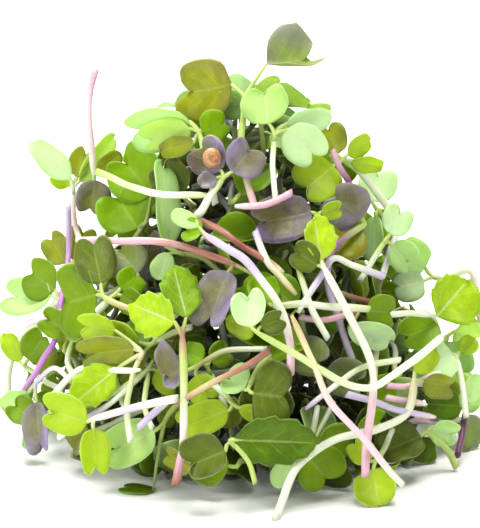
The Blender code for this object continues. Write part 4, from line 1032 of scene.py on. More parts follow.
def addLeaf(skin, blade, hub, way, tint, seed, finish, petioleColours, rows=None, columns=None):
    # a thin blade with a waved margin, puckers between its veins and a rib that runs on from the petiole
    shape, base, tip, width, facing, roll, fold, curl = blade
    rows = rows or leafForm["rows"]
    columns = columns or leafForm["columns"]
    inner, outer, under = [screenColour(c, leafLook[finish]["rich"]) for c in leafTints[tint]]
    length = (tip - base).length
    turn = bladeTurn(base, tip, facing, roll)
    form = fineShapes[shape]
    edge = [(petioleWidth / width, 0.0)] + form["edge"]
    rib = [(0.0, 0.0)] + [(0.0, r) for r in form["rib"]]
    live = 1.0 if fold else 0.25
    rng = random.Random(round(seed * 1000))
    phase = rng.uniform(0.0, 2.0 * math.pi)
    waves = rng.uniform(1.4, 2.6)
    skew = rng.uniform(-1.0, 1.0) * leafForm["skew"] * live
    rollBack = rng.uniform(*leafForm["rollBack"])
    cup = rng.uniform(*leafForm["cup"])
    notch = rng.uniform(*leafForm["notch"]) if shape == "heart" else 0.0
    flush = leafFlush.get(tint)
    middle, normals, plan, tops, thick = [], [], [], [], []
    count = 2 * columns + 1
    for i in range(rows + 1):
        share = i / rows
        t = share * (len(edge) - 1)
        ex, ey = curveThrough(edge, t)
        ry = curveThrough(rib, t)[1] * (1.0 + notch * share)
        if shape == "saw":
            tooth = (share * leafForm["teeth"]) % 1.0
            ex *= 1.0 + leafForm["toothDepth"] * (tooth - 0.6) * min(1.0, 5.0 * (1.0 - share))
            ey += 0.05 * tooth * (1.0 - share)
        for j in range(-columns, columns + 1):
            q = abs(j) / columns
            side = -1.0 if j < 0 else 1.0
            x = side * ex * 0.5 * width * q * (1.0 + 0.5 * side * skew)
            y = (ry + (ey - ry) * q + side * skew * q * share * 0.3) * length
            point = curledPoint(x, y, length, fold, curl, leafForm["softFold"] * width)
            wavy = leafForm["wave"] * q * q * math.sin(waves * 2.0 * math.pi * share + phase + 1.7 * side)
            rolled = rollBack * q ** 4 - cup * q * q
            vein = math.cos((share * 5.4 - 1.25 * q) * 2.0 * math.pi)
            pucker = leafForm["pucker"] * vein * q * (1.0 - q * q) * 2.0
            point.z += (wavy - rolled - pucker) * width * min(1.0, 3.0 * share) * live + skew * x * share * 0.6
            middle.append(base + turn @ point)
            plan.append((side * q, share, seed))
            patch = noise.noise(Vector((x * 0.16 + seed * 5.0, y * 0.16, seed)))
            shade = inner.lerp(outer, min(max(q * q * 0.9 + 0.55 * patch, 0.0), 1.0))
            if flush is not None:
                # a flush of purple round the petiole and over a part of one lobe
                reach = max(1.0 - share * 2.4, 0.7 * min(max(flush[1] * side * q + patch, 0.0), 1.0))
                shade = shade.lerp(screenColour(flush[0]), min(max(reach, 0.0), 1.0) * flush[2])
            tops.append(shade)
            ribThick = leafForm["ribRise"] * math.exp(-(q / 0.16) ** 2) * (1.0 - 0.8 * share)
            thick.append((leafForm["middle"] + ribThick) * (1.0 - q ** 3) + leafForm["rim"] * q ** 3)
    for i in range(rows + 1):
        for j in range(count):
            back = middle[max(i - 1, 0) * count + j]
            front = middle[min(i + 1, rows) * count + j]
            left = middle[i * count + max(j - 1, 0)]
            right = middle[i * count + min(j + 1, count - 1)]
            normal = (right - left).cross(front - back)
            normals.append(normal.normalized() if normal.length > 1e-6 else turn @ Vector((0.0, 0.0, 1.0)))
    total = len(middle)
    verts = []
    for sign in (0.5, -0.5):
        for point, normal, depth in zip(middle, normals, thick):
            vert = point + normal * (sign * depth)
            vert.z = max(vert.z, 0.02)
            verts.append(vert)
    faces = []
    for i in range(rows):
        for j in range(count - 1):
            a = i * count + j
            b, c, d = a + 1, a + count + 1, a + count
            faces.append((a, b, c, d))
            faces.append((a + total, d + total, c + total, b + total))
        a = i * count
        faces.append((a, a + count, a + count + total, a + total))
        a += count - 1
        faces.append((a, a + total, a + count + total, a + count))
    for j in range(count - 1):
        a = rows * count + j
        faces.append((j, j + total, j + 1 + total, j + 1))
        faces.append((a, a + 1, a + 1 + total, a + total))
    bottoms = [top.lerp(under, 0.6) for top in tops]
    skin.add(verts, faces, plan * 2, tops + bottoms, finish)
    # the petiole runs on under the blade as its rib
    ribPath = [hub - way * 2.4, hub - way * 0.6, hub.lerp(base, 0.5)]
    for k in range(6):
        y = length * form["rib"][-1] * 0.14 * k
        ribPath.append(base + turn @ (curledPoint(0.0, y, length, fold, curl) - Vector((0.0, 0.0, 0.20))))
    ribPath = smoothPath(ribPath, 1.6)
    for point in ribPath:
        point.z = max(point.z, 0.35)
    stalkTints = petioleColours + [inner]
    addStem(skin, ribPath, petioleWidth, 0.3 * petioleWidth, stalkTints, seed + 0.37, "paleStalk", 7, 0.0)


finishOf = {
    "lime": "limeLeaf", "brightLime": "limeLeaf", "paleLime": "limeLeaf", "green": "greenLeaf",
    "leafy": "greenLeaf", "deep": "greenLeaf", "mint": "mintLeaf", "leafMint": "mintLeaf",
    "greyMint": "mintLeaf", "paleMint": "mintLeaf", "olive": "oliveLeaf", "darkOlive": "oliveLeaf",
    "sage": "oliveLeaf", "gold": "oliveLeaf", "greyOlive": "purpleLeaf", "slate": "purpleLeaf",
    "violet": "purpleLeaf", "darkPurple": "purpleLeaf", "greyLilac": "purpleLeaf",
}
slotOf = {"limeLeaf": "leaf_lime", "greenLeaf": "leaf_green", "mintLeaf": "leaf_mint", "oliveLeaf": "leaf_olive",
          "purpleLeaf": "leaf_purple", "sawLeaf": "leaf_lime", "darkSaw": "leaf_green", "paleStalk": "stem_white", "rosyStalk": "stem_pink",
          "darkStalk": "stem_pink"}
rosy = {"pink", "lilac", "magenta", "plum"}
dark = {"red", "rust", "purple"}


def stalkFinishOf(names):
    if sum(name in dark for name in names) * 2 > len(names):
        return "darkStalk"
    return "rosyStalk" if any(name in rosy for name in names) else "paleStalk"


def leafFinishOf(shape, tint):
    if shape == "saw":
        return "darkSaw" if tint == "deep" else "sawLeaf"
    return finishOf[tint]


class Room:
    # remembers where blades and stalks lie, so that later ones keep clear of them
    def __init__(self, cell):
        self.cell = cell
        self.spots = {}

    def corner(self, point):
        return tuple(int(math.floor(c / self.cell)) for c in point)

    def fill(self, points):
        for point in points:
            self.spots.setdefault(self.corner(point), []).append(point)

    def clashes(self, points, reach, most):
        count = 0
        for point in points:
            x, y, z = self.corner(point)
            near = [spot for i in (x - 1, x, x + 1) for j in (y - 1, y, y + 1) for k in (z - 1, z, z + 1)
                    for spot in self.spots.get((i, j, k), ())]
            if any((point - spot).length < reach for spot in near):
                count += 1
                if count > most:
                    return count
        return count


def bladeSpots(blade):
    shape, base, tip, width, facing, roll, fold, curl = blade
    form = fineShapes[shape]
    length = (tip - base).length
    turn = bladeTurn(base, tip, facing, roll)
    spots = []
    for i in range(7):
        t = (i + 0.6) / 7.0 * (len(form["edge"]) - 1)
        ex, ey = curveThrough(form["edge"], t)
        ry = curveThrough([(0.0, r) for r in form["rib"]], t)[1]
        for q in (-1.0, -0.66, -0.33, 0.0, 0.33, 0.66, 1.0):
            y = (ry + (ey - ry) * abs(q)) * length
            spots.append(base + turn @ curledPoint(ex * 0.5 * width * q, y, length, fold, curl))
    return spots


def pathSpots(path):
    return smoothPath(path, 1.5)


room = Room(2.0)
frontCell = 1.5
frontMap = {}


def frontKey(point):
    return round(point.x / frontCell), round((point.z * lookCos + point.y * lookSin) / frontCell)


def noteFront(points):
    for point in points:
        key = frontKey(point)
        frontMap[key] = max(frontMap.get(key, -1000.0), point.dot(towardViewer))


def hidesFront(points):
    return any(point.dot(towardViewer) > frontMap.get(frontKey(point), 1000.0) for point in points)


def sprayParts(spray, back=0.0):
    moved = dict(spray, back=spray["back"] + back)
    stalks = sprayStalks(moved)
    hub = sprayHub(moved) if "hub" in moved else None
    blades = sprayBlades(moved, hub) if hub is not None else []
    if hub is not None:
        stalks[0][0][-1] = hub.copy()
    return stalks, hub, blades


def stemWay(path):
    # the way that a stem points at its head
    return (path[-1] - path[-2]).normalized()


def layStalks(skin, spray, stalks, shift, seed):
    for i, (points, width) in enumerate(stalks):
        names = spray["stems"][i]
        path = [p + shift for p in points]
        addStem(skin, smoothPath(path, stemForm["step"]), width, 0.9 * width, [screenColour(stemTints[c]) for c in names],
                seed + 0.21 * i, stalkFinishOf(names))
        room.fill(pathSpots(path))
        noteFront(pathSpots(path))


def layLeaves(skin, spray, hub, way, blades, shift, seed):
    for i, blade in enumerate(blades):
        tint = spray["tints"][i]
        neck = stemTints[spray["stems"][0][-1]]
        moved = (blade[0], blade[1] + shift, blade[2] + shift) + blade[3:]
        addLeaf(skin, moved, hub + shift, way, tint, seed + 0.13 * i, leafFinishOf(blade[0], tint),
                [screenColour(neck), screenColour(stemTints["lime"])])
        room.fill(bladeSpots(moved))
        noteFront(bladeSpots(moved))


def sprayShift(name, spray):
    nodes = [node for node in (name, name + "_leaves", name + "_stems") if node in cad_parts]
    stalks, hub, blades = sprayParts(spray)
    coarse = [p for points, width in sprayStalks(spray) for p in points]
    if len(nodes) == 1:
        coarse += [p for blade in blades for p in plainBladePoints(blade, hub)]
    return nodes, shiftTo(nodes[-1], coarse)


def buildSpray(name, spray, seed):
    nodes, shift = sprayShift(name, spray)
    stalks, hub, blades = sprayParts(spray)
    stalkSkin = Skin()
    layStalks(stalkSkin, spray, stalks, shift, seed)
    newPiece(name + "Stalks", stalkSkin, [nodes[-1]])
    if blades:
        leafSkin = Skin()
        layLeaves(leafSkin, spray, hub, stemWay(stalks[0][0]), blades, shift, seed)
        newPiece(name + "Leaves", leafSkin, [nodes[0]])


heapShift = sprayShift("longWhite", sprays["longWhite"])[1]  # this spray lies just where the layout puts it
for number, (name, spray) in enumerate(sprays.items()):
    buildSpray(name, spray, number + 1.0)
print("sprays laid, heap shifted by", [round(c, 2) for c in heapShift])


# Loose seedlings that only the looks have. Each is laid as above and moved back until it is clear of the rest.
looseSprays = {
    "palePetal": {
        "back": 1.0, "hub": (2.6, 79.4), "tints": ["paleLime", "mint"], "stems": [["lime", "lime"]],
        "lines": [([(4.4, 68), (4.0, 74), (2.8, 79)], 1.2, 4.0)],
        "leaves": [("lens", (2.2, 81.4), (8.2, 85), 5.5, 10, 20, 15, 1),
                   ("heart", (0.6, 79.6), (-6.4, 79.4), 8, -10, 22, 20, 2)],
    },
    "darkLoop": {
        "back": 2.0, "hub": (-13.6, 56.6), "tints": ["darkOlive", "green"], "stems": [["white", "olive"]],
        "lines": [([(-8, 50), (-11, 53.6), (-13.2, 56)], 1.4, 3.0)],
        "leaves": [("heart", (-14.8, 58), (-19.8, 65.4), 11, -12, 26, 24, 2),
                   ("heart", (-14.8, 55.6), (-20.6, 52.4), 8, 12, 22, 20, 4)],
    },
    "oliveCorner": {
        "back": 2.0, "hub": (-41.6, 41.0), "tints": ["olive", "gold"], "stems": [["white", "lime"]],
        "lines": [([(-35, 33), (-38.6, 37), (-41.2, 40.4)], 1.4, 3.0)],
        "leaves": [("heart", (-43, 42.2), (-47, 48.8), 7.5, -12, 24, 20, 0),
                   ("heart", (-41, 43), (-38.2, 50.8), 8.5, 10, 24, 20, 3)],
    },
    "farLeft": {
        "back": 3.0, "hub": (-53, 17.6), "tints": ["lime", "leafy"], "stems": [["white", "lime"]],
        "lines": [([(-43, 12), (-48, 14.4), (-52.4, 17.2)], 1.4, 4.0)],
        "leaves": [("lens", (-54, 18.6), (-57.6, 25.4), 5.5, 10, 24, 18, 0),
                   ("heart", (-51.8, 19.2), (-47.4, 25.8), 8, -10, 24, 20, 2)],
    },
    "palestLeft": {
        "back": 1.0, "hub": (-40.4, 24.6), "tints": ["leafy", "lime"], "stems": [["white", "white", "lime"]],
        "lines": [([(-38.8, 11), (-40, 15), (-42, 19), (-40.8, 24)], 1.5, 1.0)],
        "leaves": [("heart", (-41.8, 26), (-47.8, 29.6), 7.5, -10, 22, 20, 2),
                   ("lens", (-39.4, 26), (-33.4, 31), 6, 12, 24, 20, 3)],
    },
    "lowCross": {
        "back": -1.0, "hub": (-22.4, 17.6), "tints": ["lime", "darkOlive"],
        "stems": [["white", "lilac", "white", "paleLime"], ["white", "paleLime", "lime"],
                  ["white", "paleLime", "lime"]],
        "lines": [([(-43.8, 1.2), (-38, 5.2), (-31, 9.6), (-23, 17)], 1.5, -2.0),
                  ([(-36.5, 9), (-31, 11.4), (-23, 17)], 1.4, -1.0),
                  ([(-21.6, 3.4), (-23.6, 9), (-22.6, 16.6)], 1.4, -2.0)],
        "leaves": [("heart", (-20.8, 17), (-15.6, 12.4), 7, 10, 24, 20, 4),
                   ("heart", (-21.6, 19.4), (-18, 24.8), 7, -10, 24, 20, 4)],
    },
    "paleFan": {
        "back": -3.0, "hub": (-22.6, 22.8), "tints": ["lime", "olive"],
        "stems": [["white", "paleLime", "lime"], ["blush", "white", "paleLime"]],
        "lines": [([(-12.4, 27.2), (-17, 25.6), (-22, 23)], 1.5, 0.0),
                  ([(-15.6, 30.6), (-19.4, 26.6), (-22, 23)], 1.4, 0.0)],
        "leaves": [("lens", (-25, 23.6), (-33, 27), 6.5, -14, 24, 20, 1),
                   ("lens", (-24, 20.6), (-28.6, 13.4), 5.5, 12, 24, 20, 2)],
    },
    "lilacStub": {
        "back": -2.0, "tints": [], "stems": [["lilac", "lilac", "white"], ["blush", "lilac"]],
        "lines": [([(-25, 3.6), (-21, 7.3), (-16.6, 11.2)], 1.8, -2.0),
                  ([(-52.6, 27.4), (-46.6, 30), (-40, 31)], 1.6, 1.0)],
        "leaves": [],
    },
    "rightCross": {
        "back": -3.0, "tints": [],
        "stems": [["white", "paleLime", "white", "lilac"], ["blush", "pink", "white"], ["pink", "blush", "white"]],
        "lines": [([(36.4, 19.4), (28, 17.8), (22, 14.2), (14, 8)], 1.5, -1.0),
                  ([(33, 10.6), (38, 9.8), (42.6, 8.8)], 1.6, 0.0),
                  ([(33.3, 13.4), (38.8, 13.2), (46, 16.4)], 1.6, 1.0)],
        "leaves": [],
    },
    "thinRight": {
        "back": -2.0, "hub": (52.4, 4.8), "tints": ["mint", "greyMint"], "stems": [["lilac", "pink", "blush", "white"]],
        "lines": [([(31, 1.3), (36, 3.4), (40, 4.8), (45, 4.4), (51.6, 4.8)], 1.5, 0.0)],
        "leaves": [("heart", (52.4, 6.6), (54.6, 11.6), 6, 10, 22, 18, 1),
                   ("lens", (53, 3), (54.6, -2.6), 5, -10, 22, 18, 1)],
    },
    "rustRight": {
        "back": -1.0, "hub": (21.6, 35.4), "tints": ["darkOlive", "green"], "stems": [["rust", "rust", "tan"]],
        "lines": [([(29.5, 33), (25.6, 34), (22.2, 35.2)], 1.5, -1.0)],
        "leaves": [("heart", (20.4, 36.4), (15.6, 41), 8, -12, 22, 20, 4),
                   ("heart", (21.4, 33.6), (18.4, 26.4), 8, 12, 22, 20, 6)],
    },
    "pinkStub": {
        "back": -1.0, "tints": [], "stems": [["pink", "pink", "blush"], ["pink", "plum"]],
        "lines": [([(11, 58.7), (4.6, 55.6), (-2.4, 55.4)], 1.7, 0.0),
                  ([(20.6, 68.6), (22.4, 64.6), (25.4, 60)], 1.6, -2.0)],
        "leaves": [],
    },
    "frontLeafy": {
        "back": 1.0, "hub": (15.6, -0.6), "tints": ["leafy", "green"], "stems": [["white", "lime"]],
        "lines": [([(20.6, 9.4), (18.2, 4.6), (16, 0)], 1.3, 4.0)],
        "leaves": [("heart", (17.2, -0.8), (25, 1.4), 9, 10, 20, 20, 0),
                   ("heart", (14, -1.6), (8.6, -5.6), 7.5, -10, 20, 20, 2)],
    },
    "rightPale": {
        "back": 6.0, "hub": (48.6, 25), "tints": ["paleLime", "mint"], "stems": [["white", "lime"]],
        "lines": [([(42, 18), (45.4, 21.6), (48.2, 24.6)], 1.4, 3.0)],
        "leaves": [("heart", (50, 25.8), (56.6, 23.4), 9, 10, 20, 20, 0),
                   ("heart", (48, 23), (51.4, 15.4), 9, -10, 20, 20, 2)],
    },
    "rightHigh": {
        "back": 5.0, "hub": (33.4, 47.6), "tints": ["paleMint", "mint"], "stems": [["white", "lime"]],
        "lines": [([(27, 38), (30, 43), (33, 47)], 1.4, 3.0)],
        "leaves": [("heart", (34.4, 49), (37.4, 55.4), 8, 10, 20, 20, 0),
                   ("heart", (34.8, 46.4), (39.4, 41.6), 8, -10, 20, 20, 2)],
    },
    "floorLeft": {
        "back": 4.0, "hub": (-49, 4.4), "tints": ["leafy", "mint"], "stems": [["white", "lime"]],
        "lines": [([(-42, 10), (-45.4, 7.4), (-48.4, 4.8)], 1.4, 3.0)],
        "leaves": [("heart", (-50.4, 4.8), (-55.4, 8.8), 7.5, 10, 20, 20, 0),
                   ("lens", (-49.6, 3), (-51.6, -2.4), 5, -10, 20, 20, 1)],
    },
    "fanLow": {
        "back": 1.0, "hub": (-31.0, 22.0), "tints": ["lime", "green"], "stems": [["white", "paleLime", "lime"]],
        "lines": [([(-26.2, 2.7), (-28.6, 9), (-30.7, 16), (-31, 21.2)], 1.3, 0.0)],
        "leaves": [("heart", (-32, 23), (-37, 26), 7, 12, 22, 20, 2), ("heart", (-30, 23), (-25.6, 26), 7, -12, 22, 20, 2)],
    },
    "fanHigh": {
        "back": 1.0, "hub": (-21.4, 22.4), "tints": ["green", "olive"], "stems": [["white", "lime", "lime"]],
        "lines": [([(-29, 9), (-27.6, 13.6), (-24.6, 18), (-21.8, 21.8)], 1.3, 0.0)],
        "leaves": [("heart", (-22, 24), (-25.6, 29), 7.5, 12, 22, 20, 2), ("heart", (-20, 23), (-15, 25), 7, -12, 22, 20, 2)],
    },
    "lowStub": {
        "back": 0.5, "hub": (-20.6, 9.4), "tints": ["leafy", "lime"], "stems": [["paleLime", "white", "lime"]],
        "lines": [([(-36, 2.2), (-31.6, 4), (-28.4, 5.8), (-21.4, 9)], 1.5, 0.0)],
        "leaves": [("heart", (-19.4, 10.4), (-15, 13), 7, 12, 22, 20, 3), ("heart", (-19.6, 8.4), (-15.6, 5), 7, 12, 22, 20, 3)],
    },
    "middleStub": {
        "back": 0.5, "hub": (-9.0, 18.2), "tints": ["green", "leafy"], "stems": [["white", "white", "lime"]],
        "lines": [([(-4.3, 7.6), (-6.4, 12.6), (-8.6, 17.4)], 1.4, 0.0)],
        "leaves": [("heart", (-10, 19.4), (-14.6, 22), 7, 12, 22, 20, 3), ("heart", (-8, 19.2), (-4, 22), 7, 12, 22, 20, 3)],
    },
    "levelWhite": {
        "back": 0.0, "hub": (-15.6, 24.6), "tints": ["olive", "green"], "stems": [["white", "white", "lime"]],
        "lines": [([(-30, 21.6), (-23, 22.6), (-16.6, 24.2)], 1.4, 0.0)],
        "leaves": [("heart", (-14.6, 25.6), (-10, 28), 7, 12, 22, 20, 3), ("heart", (-14.4, 23.8), (-10, 21), 7, 12, 22, 20, 3)],
    },
    "leftWhite": {
        "back": 1.0, "hub": (-30.2, 35.0), "tints": ["green", "leafy"], "stems": [["white", "white", "lime"]],
        "lines": [([(-38.4, 27.6), (-34.6, 31), (-30.8, 34.4)], 1.9, 0.0)],
        "leaves": [("heart", (-29.2, 36.2), (-25, 39.6), 8, 12, 22, 20, 3), ("heart", (-29, 34.4), (-24.4, 32), 7, 12, 22, 20, 3)],
    },
    "thinLevel": {
        "back": 0.5, "hub": (-14.8, 35.4), "tints": ["leafy", "mint"], "stems": [["white", "paleLime", "lime"]],
        "lines": [([(-33, 34.8), (-24, 34.4), (-15.8, 35.2)], 1.2, 0.0)],
        "leaves": [("heart", (-13.8, 36.6), (-10, 40), 7, 12, 22, 20, 3), ("heart", (-13.6, 34.6), (-9.6, 32), 7, 12, 22, 20, 3)],
    },
    "topLime": {
        "back": 2.0, "hub": (-2.2, 77), "tints": ["lime", "green"], "stems": [["white", "lime"]],
        "lines": [([(-2.6, 66), (-2.6, 72), (-2.3, 76.6)], 1.3, 2.0)],
        "leaves": [("heart", (-3.2, 78.4), (-9.4, 80.4), 9, -12, 24, 22, 1),
                   ("heart", (-1.2, 78.2), (4.2, 80.6), 8, 12, 24, 22, 3)],
    },
}


def laySpray(name, spray, seed):
    # goes back along the line of sight step by step until nothing is in the way
    for step in range(looseLook["steps"]):
        stalks, hub, blades = sprayParts(spray, looseLook["step"] * step)
        stalkSpots = [p + heapShift for points, width in stalks for p in pathSpots(points)[:-2]]
        leafSpots = [p + heapShift for blade in blades for p in bladeSpots(blade)]
        if room.clashes(stalkSpots, looseLook["stemReach"], looseLook["stemSlack"]) > looseLook["stemSlack"]:
            continue
        if room.clashes(leafSpots, looseLook["leafReach"], looseLook["leafSlack"]) > looseLook["leafSlack"]:
            continue
        stalkSkin, leafSkin = Skin(), Skin()
        layStalks(stalkSkin, spray, stalks, heapShift, seed)
        newPiece(name + "Stalks", stalkSkin)
        if blades:
            layLeaves(leafSkin, spray, hub, stemWay(stalks[0][0]), blades, heapShift, seed)
            newPiece(name + "Leaves", leafSkin)
        return True
    print("no room for", name)
    return False


looseLook = {"steps": 22, "step": 1.2, "stemReach": 1.5, "stemSlack": 2, "leafReach": 1.2, "leafSlack": 3}
laid = sum(laySpray(name, spray, 40.0 + number) for number, (name, spray) in enumerate(looseSprays.items()))
print("loose seedlings laid:", laid, "of", len(looseSprays))


# bunches behind the face, drawn by the same rule as the part's own
bunches = [
    {"name": "bunch_back_left", "seed": 0, "turn": (118, 172), "rise": (0.08, 0.40), "rows": 2, "columns": 2},
    {"name": "bunch_back_middle", "seed": 34, "turn": (64, 116), "rise": (0.08, 0.40), "rows": 2, "columns": 2},
    {"name": "bunch_back_right", "seed": 6, "turn": (8, 62), "rise": (0.08, 0.40), "rows": 2, "columns": 2},
    {"name": "bunch_upper_left", "seed": 0, "turn": (98, 165), "rise": (0.44, 0.68), "rows": 2, "columns": 2},
    {"name": "bunch_upper_right", "seed": 251, "turn": (20, 86), "rise": (0.44, 0.68), "rows": 2, "columns": 2},
    {"name": "bunch_crest", "seed": 0, "turn": (40, 140), "rise": (0.76, 0.80), "rows": 1, "columns": 3},
]
bunchLook = {
    "evenness": (0.35, 0.65),
    "knotDepth": (15.0, 32.0),
    "knotRise": (0.7, 0.95),
    "knotLow": 9.0,
    "sink": (3.0, 7.0),
    "tail": (7.0, 15.0),
    "tailLow": 2.0,
    "bow": 3.0,
    "lean": (1.8, -0.3),
    "stray": 0.8,
    "play": 0.3,
    "petiole": 2.6,
    "leafLength": (9.0, 12.5),
    "leafBroad": 1.35,
    "leafLow": 2.5,
    "fold": 16.0,
    "curl": 20.0,
}
bunchTints = ["green", "lime", "olive", "mint", "leafy", "deep", "brightLime", "leafy"]


def spread(span, number, count, rng):
    step = (span[1] - span[0]) / count
    return span[0] + step * (number + rng.uniform(*bunchLook["evenness"]))


def bunchSeedlings(bunch):
    # a few seedlings whose stems cross: for each its line, and base, tip, length and facing of its two leaves
    rng = random.Random(bunch["seed"])
    turn = math.radians(0.5 * sum(bunch["turn"]))
    middleHeight = 0.5 * sum(bunch["rise"]) * heapHeight
    out = Vector((math.cos(turn), math.sin(turn), 0.0))
    inner = max(heapRadius(middleHeight) - rng.uniform(*bunchLook["knotDepth"]), bladeThickness)
    knotHeight = max(rng.uniform(*bunchLook["knotRise"]) * middleHeight, bunchLook["knotLow"])
    knot = out * inner + Vector((0.0, 0.0, knotHeight))
    seedlings = []
    for row in range(bunch["rows"]):
        for column in range(bunch["columns"]):
            swing = math.radians(spread(bunch["turn"], column, bunch["columns"], rng))
            lift = spread(bunch["rise"], row, bunch["rows"], rng)
            headOut = Vector((math.cos(swing), math.sin(swing), 0.0))
            head = headOut * (heapRadius(lift * heapHeight) - rng.uniform(*bunchLook["sink"]))
            head.z = lift * heapHeight
            tail = knot + (knot - head).normalized() * rng.uniform(*bunchLook["tail"])
            tail.z = max(tail.z, bunchLook["tailLow"])
            bow = headOut * rng.uniform(-bunchLook["bow"], bunchLook["bow"])
            line = [tail, knot, knot.lerp(head, 0.5) + bow, head]
            slope = headOut + Vector((0.0, 0.0, bunchLook["lean"][0] * lift + bunchLook["lean"][1]))
            slope.normalize()
            level = headOut.cross(Vector((0.0, 0.0, 1.0))).normalized()
            leaves = []
            for sign in (-1.0, 1.0):
                stray = rng.uniform(-bunchLook["stray"], bunchLook["stray"])
                way = (level * sign + slope.cross(level) * stray).normalized()
                length = rng.uniform(*bunchLook["leafLength"])
                base = head + way * bunchLook["petiole"]
                tip = base + way * length
                base.z = max(base.z, bunchLook["leafLow"])
                tip.z = max(tip.z, bunchLook["leafLow"])
                play = Vector([rng.uniform(-bunchLook["play"], bunchLook["play"]) for axis in range(3)])
                leaves.append((base, tip, length, slope + play))
            seedlings.append((line, leaves))
    return seedlings


def seedlingBlade(base, tip, width, facing, roll=0.0, fold=16.0, curl=20.0):
    return ("heart", base, tip, width, facing, roll, fold, curl)


def buildBunch(bunch, seed):
    seedlings = bunchSeedlings(bunch)
    coarse = []
    for line, leaves in seedlings:
        coarse += line
        for base, tip, length, facing in leaves:
            blade = ("fill",) + seedlingBlade(base, tip, length * bunchLook["leafBroad"], facing)[1:]
            coarse += plainBladePoints(blade, line[-1])
    shift = shiftTo(bunch["name"], coarse)
    leafSkin, stalkSkin = Skin(), Skin()
    for i, (line, leaves) in enumerate(seedlings):
        path = [p + shift for p in line]
        colours = [screenColour(stemTints[c]) for c in ("white", "cream" if i % 2 else "pink", "lime")]
        addStem(stalkSkin, smoothPath(path, stemForm["step"]), stemWidth, 0.85 * stemWidth, colours, seed + i, "paleStalk")
        room.fill(pathSpots(path))
        for k, (base, tip, length, facing) in enumerate(leaves):
            tint = bunchTints[(2 * i + k + int(seed)) % len(bunchTints)]
            if "crest" in bunch["name"]:
                tint = "paleLime" if k else "paleMint"
            blade = seedlingBlade(base + shift, tip + shift, length * bunchLook["leafBroad"], facing)
            addLeaf(leafSkin, blade, line[-1] + shift, stemWay(line), tint, seed + i + 0.3 * k, finishOf[tint],
                    [screenColour(stemTints["lime"])], 16, 5)
            room.fill(bladeSpots(blade))
    title = "".join(word.capitalize() for word in bunch["name"].split("_")[1:])
    newPiece("bunch" + title + "Stalks", stalkSkin, [bunch["name"]])
    newPiece("bunch" + title + "Leaves", leafSkin, [bunch["name"]])


for number, bunch in enumerate(bunches):
    buildBunch(bunch, 60.0 + number)
print("bunches laid")


# more seedlings fill the heap between those that are listed one by one above
fillLook = {
    "seed": 5, "tries": 12000, "most": 480, "sink": (1.5, 26.0), "frontSink": 1.5, "rise": (0.02, 0.93),
    "leafLength": (7.5, 13.0), "broad": (0.95, 1.3), "petiole": 2.2, "tilt": 0.85, "reach": 1.35,
    "fold": (8.0, 48.0), "curl": (8.0, 52.0), "stemLength": (16.0, 42.0), "width": (1.3, 1.9),
}
fillTints = {
    "low": ["green", "leafy", "darkOlive", "lime", "green", "olive", "leafMint", "leafy"],
    "middle": ["green", "lime", "mint", "olive", "leafy", "green", "brightLime", "sage", "slate"],
    "high": ["mint", "lime", "leafy", "brightLime", "paleLime", "green", "olive"],
}
fillStalks = [["white", "white", "lime"], ["white", "cream", "lime"], ["blush", "white", "paleLime"],
              ["lilac", "white", "lime"], ["white", "paleLime", "lime"], ["white", "white", "white"]]


def fillSeedling(rng):
    lift = rng.uniform(*fillLook["rise"]) ** 1.25
    swing = rng.uniform(0.0, 2.0 * math.pi)
    headOut = Vector((math.cos(swing), math.sin(swing), 0.0))
    least = fillLook["sink"][0]
    if headOut.y < -0.35:
        least = fillLook["frontSink"]
    radius = heapRadius(lift * heapHeight) - rng.uniform(least, fillLook["sink"][1])
    if radius < 1.0:
        return None
    head = headOut * radius + Vector((0.0, 0.0, lift * heapHeight))
    out = headOut + Vector((0.0, 0.0, 1.6 * lift - 0.15))
    facing = (out.normalized() + Vector([rng.gauss(0.0, fillLook["tilt"] * 0.5) for axis in range(3)])).normalized()
    across = facing.orthogonal().normalized()
    across = Matrix.Rotation(rng.uniform(0.0, 2.0 * math.pi), 3, facing) @ across
    blades = []
    for sign in (-1.0, 1.0):
        way = (across * sign + facing * rng.uniform(-0.2, 0.5)).normalized()
        length = rng.uniform(*fillLook["leafLength"])
        base = head + way * fillLook["petiole"]
        tip = base + way * length
        if min(base.z, tip.z) < 1.5:
            continue
        blades.append(seedlingBlade(base, tip, length * rng.uniform(*fillLook["broad"]), facing,
                                    rng.uniform(-20.0, 20.0), rng.uniform(*fillLook["fold"]),
                                    rng.uniform(*fillLook["curl"])))
    inward = (-headOut * rng.uniform(0.4, 1.0) - facing * 0.6 + Vector([rng.gauss(0.0, 0.5) for axis in range(3)]))
    inward.z -= 0.3
    inward.normalize()
    reach = rng.uniform(*fillLook["stemLength"])
    bow = Vector([rng.gauss(0.0, 2.0) for axis in range(3)])
    line = [head + inward * reach, head + inward * (0.5 * reach) + bow, head - facing * 2.0 + inward * 2.0, head]
    for point in line:
        point.z = max(point.z, 1.2)
    return head, line, blades


boxLow = Vector(cadBox[0]) / metre + Vector((1.0, 1.0, 0.0))
boxHigh = Vector(cadBox[1]) / metre - Vector((1.0, 1.0, 1.0))


# how far the heap reaches to the left and right as it is seen from the front, by height
frontEdge = [(-12, -19, 28), (-9, -24, 40), (-5, -40, 49), (0, -46, 54), (10, -57, 57), (30, -57, 56), (40, -53, 52),
             (50, -45, 43), (60, -38, 36), (70, -31, 29), (78, -22, 17), (82, -11, 8), (85, -1, 1), (120, 0, 0)]


